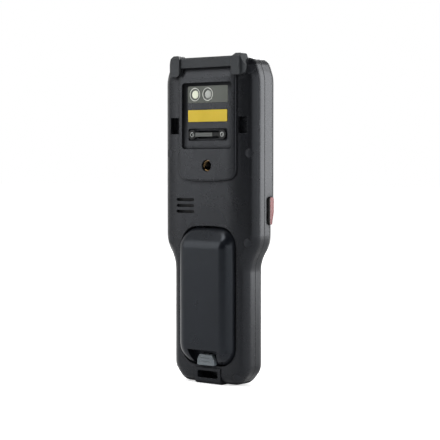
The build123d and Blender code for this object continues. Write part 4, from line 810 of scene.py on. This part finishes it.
@dataclass
class CameraPanel:
    """The grey plate on the hump with the camera and the flash, and the bare label."""

    ring_outer: float = 3.8 * MM
    ring_inner: float = 3.4 * MM
    ring_rise: float = 0.12 * MM
    ring_sunk: float = 0.1 * MM
    ring_edge: float = 0.08 * MM
    lens_radius: float = 2.4 * MM
    lens_rise: float = 0.25 * MM
    lens_below: float = 0.35 * MM
    lens_thick: float = 0.3 * MM
    dome_steps: int = 8

    def build(self) -> None:
        """Make each ring and lens and dress the plate, the barrels and the label."""
        dress(PLATE, "camera_window")
        dress(BARREL, "camera_module", "flash_module")
        dress(LABEL, "label_plate")
        for stem, cover in (("camera", LENS), ("flash", DIFFUSER)):
            centre = axis_of(f"{stem}_module")
            self.ring(f"{stem}_ring", centre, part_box("camera_window")[1].y)
            self.lens(f"{stem}_lens", centre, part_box(f"{stem}_module")[1].y, cover)

    def ring(self, name: str, centre: Pair, face_y: float) -> None:
        """Make the pale ring round one aperture."""
        outer, inner, soft = self.ring_outer, self.ring_inner, self.ring_edge
        top, foot = face_y + self.ring_rise, face_y - self.ring_sunk
        profile = (
            (inner, foot), (inner, top - soft), (inner + soft, top), (outer - soft, top),
            (outer, top - soft), (outer, foot), (inner, foot),
        )
        finish_piece(lathe(profile, centre, 72), name, RING, "terminal")

    def lens(self, name: str, centre: Pair, face_y: float, cover: Finish) -> None:
        """Make one domed lens in its barrel."""
        base, rise, radius = face_y - self.lens_below, self.lens_rise, self.lens_radius
        back = base - self.lens_thick
        turns = [step * math.pi / 2 / self.dome_steps for step in range(1, self.dome_steps)]
        dome = [(radius * math.cos(turn), base + rise * math.sin(turn)) for turn in turns]
        profile = [(0.0, back), (radius, back), (radius, base), *dome, (0.0, base + rise)]
        finish_piece(lathe(profile, centre, 64), name, cover, "terminal")


@dataclass
class StrapBar:
    """The bar for a wrist strap and its two socket screws."""

    strip_length: float = 12.4 * MM
    strip_height: float = 2.3 * MM
    strip_middle: float = 2.2 * MM
    strip_rise: float = 0.15 * MM
    strip_edge: float = 0.1 * MM
    head_radius: float = 1.5 * MM
    head_height: float = 0.7 * MM
    head_edge: float = 0.25 * MM
    head_corner: float = 0.3
    shank_radius: float = 0.8 * MM
    screw_length: float = 3.2 * MM
    socket_radius: float = 1.0 * MM
    socket_depth: float = 0.6 * MM

    def build(self) -> None:
        """Dress the bar, stiffen it with its strip and make both screws in place of the plain ones."""
        dress(BAR, "strap_bar")
        strip = soft_block(
            (self.strip_middle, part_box("strap_bar")[1].y, axis_of("strap_bar")[1]),
            (self.strip_length, 2 * self.strip_rise, self.strip_height), self.strip_edge, 3,
        )
        finish_piece(strip, "strap_bar_strip", STRIP, "terminal")
        low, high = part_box("strap_bar_screws")
        middle_z = axis_of("strap_bar_screws")[1]
        for side, x in (("right", high.x - self.head_radius), ("left", low.x + self.head_radius)):
            screw = self.screw(x, middle_z, high.y)
            finish_piece(screw, f"strap_bar_screw_{side}", HEAD_STEEL, "terminal")
            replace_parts(screw, "strap_bar_screws")

    def screw(self, x: float, z: float, top: float) -> Piece:
        """Make one screw with a rounded head and a six-sided socket."""
        radius, soft, shank = self.head_radius, self.head_edge, self.shank_radius
        under, tip, corner = top - self.head_height, top - self.screw_length, soft * self.head_corner
        profile = (
            (0.0, tip), (shank, tip), (shank, under), (radius, under), (radius, top - soft),
            (radius - corner, top - corner), (radius - soft, top), (0.0, top),
        )
        screw = lathe(profile, (x, z), 48)
        let_go()
        bpy.ops.mesh.primitive_cylinder_add(
            vertices=6, radius=self.socket_radius, depth=2 * self.socket_depth, location=(x, top, z),
            rotation=(math.pi / 2, 0.0, 0.0),
        )
        socket = bpy.context.object
        settle(socket)
        cut = screw.modifiers.new("socket", "BOOLEAN")
        cut.object, cut.operation, cut.solver = socket, "DIFFERENCE", "EXACT"
        apply_all(screw)
        bpy.data.objects.remove(socket)
        return smooth(screw)


@dataclass
class HandleInsert:
    """The brass insert for a pistol handle, with its real thread."""

    thread_radius: float = 2.5 * MM
    crest_radius: float = 2.12 * MM
    root_sunk: float = 0.05 * MM
    root_half: float = 0.36 * MM
    pitch: float = 0.8 * MM
    turn_steps: int = 40
    bore_edge: float = 0.3 * MM
    outer_edge: float = 0.2 * MM

    def build(self) -> None:
        """Make the sleeve and the thread in place of the plain sleeve."""
        low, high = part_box("handle_insert")
        centre, outer, bore = axis_of("handle_insert"), (high.x - low.x) / 2, self.thread_radius
        soft, rim = self.bore_edge, self.outer_edge
        profile = (
            (bore, low.y), (bore, high.y - soft), (bore + soft, high.y), (outer - rim, high.y),
            (outer, high.y - rim), (outer, low.y), (bore, low.y),
        )
        sleeve, thread = lathe(profile, centre, 72), self.thread(centre, low.y, high.y)
        for name, piece in (("insert_sleeve", sleeve), ("insert_thread", thread)):
            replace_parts(finish_piece(piece, name, BRASS, "terminal"), "handle_insert")

    def thread(self, centre: Pair, low_y: float, high_y: float) -> Piece:
        """Wind one three-sided ridge down the bore."""
        turns = int((high_y - low_y - 2 * self.pitch) / self.pitch)
        let_go()
        bpy.ops.mesh.primitive_circle_add(vertices=3, radius=self.root_half, fill_type="NOTHING")
        ridge = bpy.context.object
        root = self.thread_radius + self.root_sunk
        places = ((self.crest_radius, 0.0), (root, self.root_half), (root, -self.root_half))
        for vertex, (radius, rise) in zip(ridge.data.vertices, places):
            vertex.co = Vector((radius, 0.0, rise))
        wind = ridge.modifiers.new("wind", "SCREW")
        wind.angle, wind.screw_offset, wind.iterations = math.tau, self.pitch, turns
        wind.steps = wind.render_steps = self.turn_steps
        wind.use_merge_vertices = False
        apply_all(ridge)
        ridge.rotation_euler = (-math.pi / 2, 0.0, 0.0)
        ridge.location = (centre[0], low_y + self.pitch, centre[1])
        settle(ridge)
        edit_all()
        bpy.ops.mesh.normals_make_consistent(inside=False)
        bpy.ops.mesh.select_all(action="DESELECT")
        bpy.ops.mesh.select_non_manifold()
        bpy.ops.mesh.edge_face_add()
        return smooth(ridge)


@dataclass
class SoundParts:
    """The loudspeaker, its mesh, the earpiece and the motor."""

    mesh: Woven = SOUND_MESH

    def build(self) -> None:
        """Give the sound parts their finishes."""
        dress(self.mesh, "speaker_mesh")
        dress(INNER, "speaker", "receiver")
        dress(STEEL, "vibration_motor")


@dataclass
class Display:
    """The window with its printed border, over the dark display."""

    border: float = 4.5 * MM
    corner: float = 3.0 * MM
    corner_steps: int = 6
    ink: float = 0.04 * MM
    rim: float = 0.2 * MM

    def build(self) -> None:
        """Dress the glass and the display, and make the printed border behind the glass."""
        dress(CLEAR, "display_window")
        dress(PANEL_FACE, "display_panel")
        low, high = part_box("display_window")
        size, (middle_x, middle_z) = high - low, axis_of("display_window")
        let_go()
        bpy.ops.mesh.primitive_plane_add(
            size=1.0, location=(middle_x, high.y - 2 * self.ink, middle_z), rotation=(math.pi / 2, 0.0, 0.0)
        )
        border = bpy.context.object
        border.scale = (size.x - 2 * self.rim, size.z - 2 * self.rim, 1.0)
        settle(border)
        edit_all()
        bpy.ops.mesh.bevel(offset=self.corner, segments=self.corner_steps, affect="VERTICES")
        bpy.ops.mesh.inset(thickness=self.corner - 0.05 * MM)
        bpy.ops.mesh.remove_doubles(threshold=0.3 * MM)
        bpy.ops.mesh.inset(thickness=self.border - self.corner)
        bpy.ops.mesh.delete(type="FACE")
        bpy.ops.object.mode_set(mode="OBJECT")
        thick = border.modifiers.new("ink", "SOLIDIFY")
        thick.thickness, thick.offset = self.ink, 0.0
        apply_all(border)
        finish_piece(border, "window_border", MASK_INK, "terminal")


class Mark(Enum):
    """The plain signs on the keys that bear no number."""

    LEFT = "left"
    RIGHT = "right"
    UP = "up"
    DOWN = "down"
    CLEAR = "clear"
    ENTER = "enter"
    POWER = "power"
    FUNCTION = "function"
    DASH_LEFT = "soft_left"
    DASH_RIGHT = "soft_right"
    BARS = "scan"


@dataclass
class Keypad:
    """The keys with their numbers and signs, the mat and the board. The signs' corners are in millimetres."""

    figure_height: float = 4.2 * MM
    font_share: float = 1.35
    figure_swell: float = 0.04 * MM
    ink: float = 0.05 * MM
    stroke: float = 0.55 * MM
    ring_radius: float = 1.3

    def build(self) -> None:
        """Dress every key and print its number or sign on it."""
        keys = sorted(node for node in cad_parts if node.startswith("key_"))
        dress(KEY, *(key for key in keys if key != "key_scan"))
        dress(SCAN_KEY, "key_scan")
        dress(SEAL, "keypad_mat")
        dress(BOARD, "keypad_board", "main_board")
        for key in keys:
            word = key.removeprefix("key_")
            legend = self.figure(key, word) if word.isdigit() else self.sign(key, Mark(word))
            finish_piece(legend, f"legend_{word}", LEGEND, key)

    def face(self, key: str) -> Vector:
        """Return the middle of a key's front face."""
        x, z = axis_of(key)
        return Vector((x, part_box(key)[0].y, z))

    def figure(self, key: str, text: str) -> Piece:
        """Make one number as a thin print on its key."""
        let_go()
        bpy.ops.object.text_add(rotation=(math.pi / 2, 0.0, 0.0))
        print_data = bpy.context.object.data
        print_data.body = text
        print_data.size = self.figure_height * self.font_share
        print_data.align_x, print_data.align_y = "CENTER", "CENTER"
        print_data.extrude = self.ink / 2
        print_data.offset = self.figure_swell
        bpy.ops.object.convert(target="MESH")
        figure = bpy.context.object
        figure.location = self.face(key)
        settle(figure)
        return figure

    def sign(self, key: str, mark: Mark) -> Piece:
        """Print the sign of one key that bears no number, in lines of even width."""
        dash = [[(-1.8, 0.0), (1.8, 0.0)]]
        turns = [step * math.pi / 9 for step in range(2, 17)]
        ring = [(self.ring_radius * math.sin(turn), self.ring_radius * math.cos(turn)) for turn in turns]
        runs = {
            Mark.UP: [[(-1.5, -0.8), (0.0, 0.9), (1.5, -0.8)]],
            Mark.DOWN: [[(-1.5, 0.8), (0.0, -0.9), (1.5, 0.8)]],
            Mark.LEFT: [[(0.8, 1.5), (-0.9, 0.0), (0.8, -1.5)]],
            Mark.RIGHT: [[(-0.8, 1.5), (0.9, 0.0), (-0.8, -1.5)]],
            Mark.CLEAR: [[(-1.2, -1.2), (1.2, 1.2)], [(-1.2, 1.2), (1.2, -1.2)]],
            Mark.ENTER: [[(1.6, 1.4), (1.6, -0.4), (-1.5, -0.4)], [(-0.4, 0.7), (-1.6, -0.4), (-0.4, -1.5)]],
            Mark.POWER: [ring, [(0.0, 1.6), (0.0, 0.2)]],
            Mark.FUNCTION: [[(0.0, 1.2), (1.2, 0.0), (0.0, -1.2), (-1.2, 0.0), (0.0, 1.2)]],
            Mark.DASH_LEFT: dash,
            Mark.DASH_RIGHT: dash,
            Mark.BARS: [[(x, -2.2), (x, 2.2)] for x in (-3.0, -1.8, -0.4, 1.2, 2.2, 3.2)],
        }
        middle = self.face(key) - Vector((0.0, self.ink / 2, 0.0))
        return draw_lines(runs[mark], middle, self.stroke, self.ink)


@dataclass
class BatteryPack:
    """The pack's two halves with cells, terminals, latch and spring."""

    spring_wire: float = 0.5 * MM
    spring_bends: int = 5
    latch_travel: float = 2.5 * MM

    def build(self) -> None:
        """Dress the pack and make the spring that the latch presses."""
        dress(PACK, "battery_cover", "battery_tray")
        dress(FOIL, "battery_cells")
        dress(GOLD, "battery_terminals", "bay_contacts")
        dress(LATCH, "battery_latch")
        low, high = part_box("latch_spring")
        tall = high.z - low.z
        half = ((high.x - low.x) - 2 * self.spring_wire) / 2 / MM
        pitch = (tall - self.spring_wire) / self.spring_bends / MM
        zigzag = [
            (half if bend % 2 else -half, (bend - self.spring_bends / 2) * pitch)
            for bend in range(self.spring_bends + 1)
        ]
        spring = draw_lines([zigzag], (low + high) / 2, self.spring_wire, high.y - low.y)
        finish_piece(spring, "latch_spring_wire", STEEL, "battery_pack")
        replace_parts(spring, "latch_spring")
        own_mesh(spring)


@dataclass
class SidesAndFoot:
    """The side triggers with their switches, and the connector in the foot."""

    pad_count: int = 8
    pad_pitch: float = 1.9 * MM
    plate_side: float = 1.056 * MM
    plate_thick: float = 0.1 * MM
    plate_height: float = 0.8 * MM
    plate_edge: float = 0.04 * MM

    def build(self) -> None:
        """Dress the triggers and the connector and plate each pad with gold."""
        dress(TRIGGER, "trigger_left", "trigger_right")
        dress(INNER, "trigger_switches", "cradle_connector")
        low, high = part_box("cradle_connector")
        first_x, middle_y = -self.pad_pitch * (self.pad_count - 1) / 2, (low.y + high.y) / 2
        first = soft_block(
            (first_x, middle_y, low.z + self.plate_height),
            (self.plate_side, self.plate_side, self.plate_thick), self.plate_edge, 2,
        )
        twins = [self.twin(first, self.pad_pitch * index) for index in range(1, self.pad_count)]
        for number, plate in enumerate((first, *twins), 1):
            finish_piece(plate, f"connector_pad_{number}", GOLD, "terminal")

    @staticmethod
    def twin(plate: Piece, along: float) -> Piece:
        """Copy a plate with its own mesh, some way along X."""
        other = plate.copy()
        other.data = plate.data.copy()
        bpy.context.scene.collection.objects.link(other)
        other.location.x = along
        settle(other)
        return other


# --- Studio ---


def aim(name: str, data: Any, at: Vector, along: Vector) -> Piece:
    """Put a lamp or a camera in its place, turned to look along a direction."""
    aimed = bpy.data.objects.new(name, data)
    bpy.context.scene.collection.objects.link(aimed)
    aimed.location = at
    aimed.rotation_mode = "QUATERNION"
    aimed.rotation_quaternion = along.to_track_quat("-Z", "Y")
    return aimed


@dataclass(frozen=True)
class SoftBox:
    """A broad soft lamp that faces the object."""

    name: str
    place: Point
    width: float
    height: float
    power: float

    def hang(self, target: Vector) -> None:
        """Put the lamp in its place, turned to the target."""
        data = bpy.data.lights.new(self.name, "AREA")
        data.shape, data.size, data.size_y, data.energy = "RECTANGLE", self.width, self.height, self.power
        aim(self.name, data, Vector(self.place), target - Vector(self.place))
        LOG.info("hung %s", self.name)


@dataclass
class Studio:
    """The plain pale floor, the white surround, the lamps and the camera."""

    target: Vector = field(default_factory=lambda: Vector((0.0, 0.0, 0.095)))
    azimuth: float = 218.379
    elevation: float = 2.182
    distance: float = 0.85355
    lens: float = 120.38
    sensor: float = 36.0
    shift: Pair = (0.0086, -0.0015)
    clip: Pair = (0.01, 50.0)
    floor_side: float = 12.0
    foot_gap: float = 0.1 * MM
    mirrored_floor: float = 0.5
    floor_glow: Pair = (0.6, 1.0)
    floor_glow_span: Pair = (0.2, 0.9)
    surround: float = 0.05
    backdrop_span: Pair = (0.05, 0.45)
    lamps: tuple[SoftBox, ...] = (
        SoftBox("fill_lamp", (0.7, 0.85, 0.45), 0.13, 0.8, 2.5),
        SoftBox("left_lamp", (0.87, 0.66, 0.45), 0.2, 0.8, 2.0),
        SoftBox("side_lamp", (-1.07, -0.19, 0.15), 0.35, 1.0, 3.0),
        SoftBox("rim_lamp", (-0.72, -0.8, 0.1), 0.6, 1.2, 16.0),
        SoftBox("top_lamp", (0.3, 0.48, 1.1), 0.6, 0.6, 7.0),
        SoftBox("camera_lamp", (-0.95, 0.95, 0.3), 0.4, 0.9, 2.0),
        SoftBox("flank_lamp", (-1.25, 0.4, 0.2), 0.8, 1.0, 5.5),
        SoftBox("front_lamp", (0.45, -0.95, 0.7), 0.6, 0.6, 10.0),
    )

    def build(self) -> None:
        """Set up the camera, the floor, the surround and the lamps."""
        self.camera()
        self.floor()
        self.world()
        for lamp in self.lamps:
            lamp.hang(self.target)
        bpy.context.scene.view_settings.view_transform = "Standard"

    def camera(self) -> None:
        """Place the camera at its height and side, aimed at the middle of the object."""
        azimuth, elevation = math.radians(self.azimuth), math.radians(self.elevation)
        level = math.cos(elevation)
        back = Vector((math.sin(azimuth) * level, -math.cos(azimuth) * level, math.sin(elevation)))
        data = bpy.data.cameras.new("camera")
        data.lens, data.sensor_width = self.lens, self.sensor
        data.shift_x, data.shift_y = self.shift
        data.clip_start, data.clip_end = self.clip
        bpy.context.scene.camera = aim("camera", data, self.target + back * self.distance, -back)

    def floor(self) -> None:
        """Lay the pale floor, which shows white and keeps the object's shadow."""
        let_go()
        bpy.ops.mesh.primitive_plane_add(size=self.floor_side, location=(0.0, 0.0, -self.foot_gap))
        floor = bpy.context.object
        floor.name = "floor"
        paper = bpy.data.materials.new("floor_paper")
        wiring = fresh_wiring(paper)
        tones = {"Tone": (0.9, 0.9, 0.9, 1.0), "Deep": (0.88, 0.88, 0.88, 1.0), "Scale": 3.0}
        tone = EFFECTS.put(wiring, Effect.TONE, tones)
        diffuse = wiring.add("ShaderNodeBsdfDiffuse", {"Color": tone["Color"]})
        reach = wiring.vector_maths("LENGTH", wiring.place())
        lift = wiring.spread(reach, self.floor_glow_span, self.floor_glow)
        strength = wiring.maths("MULTIPLY", wiring.rays_seeing(self.mirrored_floor), lift)
        glow = wiring.add("ShaderNodeEmission", {"Strength": strength})
        both = wiring.add("ShaderNodeAddShader", {0: diffuse.outputs[0], 1: glow.outputs[0]})
        wiring.add("ShaderNodeOutputMaterial", {"Surface": both.outputs[0]})
        floor.data.materials.append(paper)

    def world(self) -> None:
        """Surround the object with plain light: white where it is seen, pale grey as a lamp."""
        world = bpy.data.worlds.new("surround")
        bpy.context.scene.world = world
        wiring = fresh_wiring(world)
        azimuth = math.radians(self.azimuth)
        behind = (-math.sin(azimuth), math.cos(azimuth), 0.0)
        sky = wiring.add("ShaderNodeTexCoord").outputs["Generated"]
        backdrop = wiring.spread(wiring.vector_maths("DOT_PRODUCT", sky, behind), self.backdrop_span)
        level = wiring.spread(wiring.rays_seeing(backdrop), (0.0, 1.0), (self.surround, 1.0))
        light = wiring.add("ShaderNodeBackground", {"Color": (1.0, 1.0, 1.0, 1.0), "Strength": level})
        wiring.add("ShaderNodeOutputWorld", {"Surface": light.outputs[0]})


def main() -> None:
    """Build and dress every sub-assembly in order, then the studio."""
    logging.basicConfig(level=logging.INFO, format="%(name)s: %(message)s")
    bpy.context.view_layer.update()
    let_go()
    assemblies = (
        CaseShells(), ScanningEnd(), CameraPanel(), StrapBar(), HandleInsert(), SoundParts(), Display(),
        Keypad(), BatteryPack(), SidesAndFoot(), Studio(),
    )
    for assembly in assemblies:
        assembly.build()


if __name__ == "__main__":
    main()
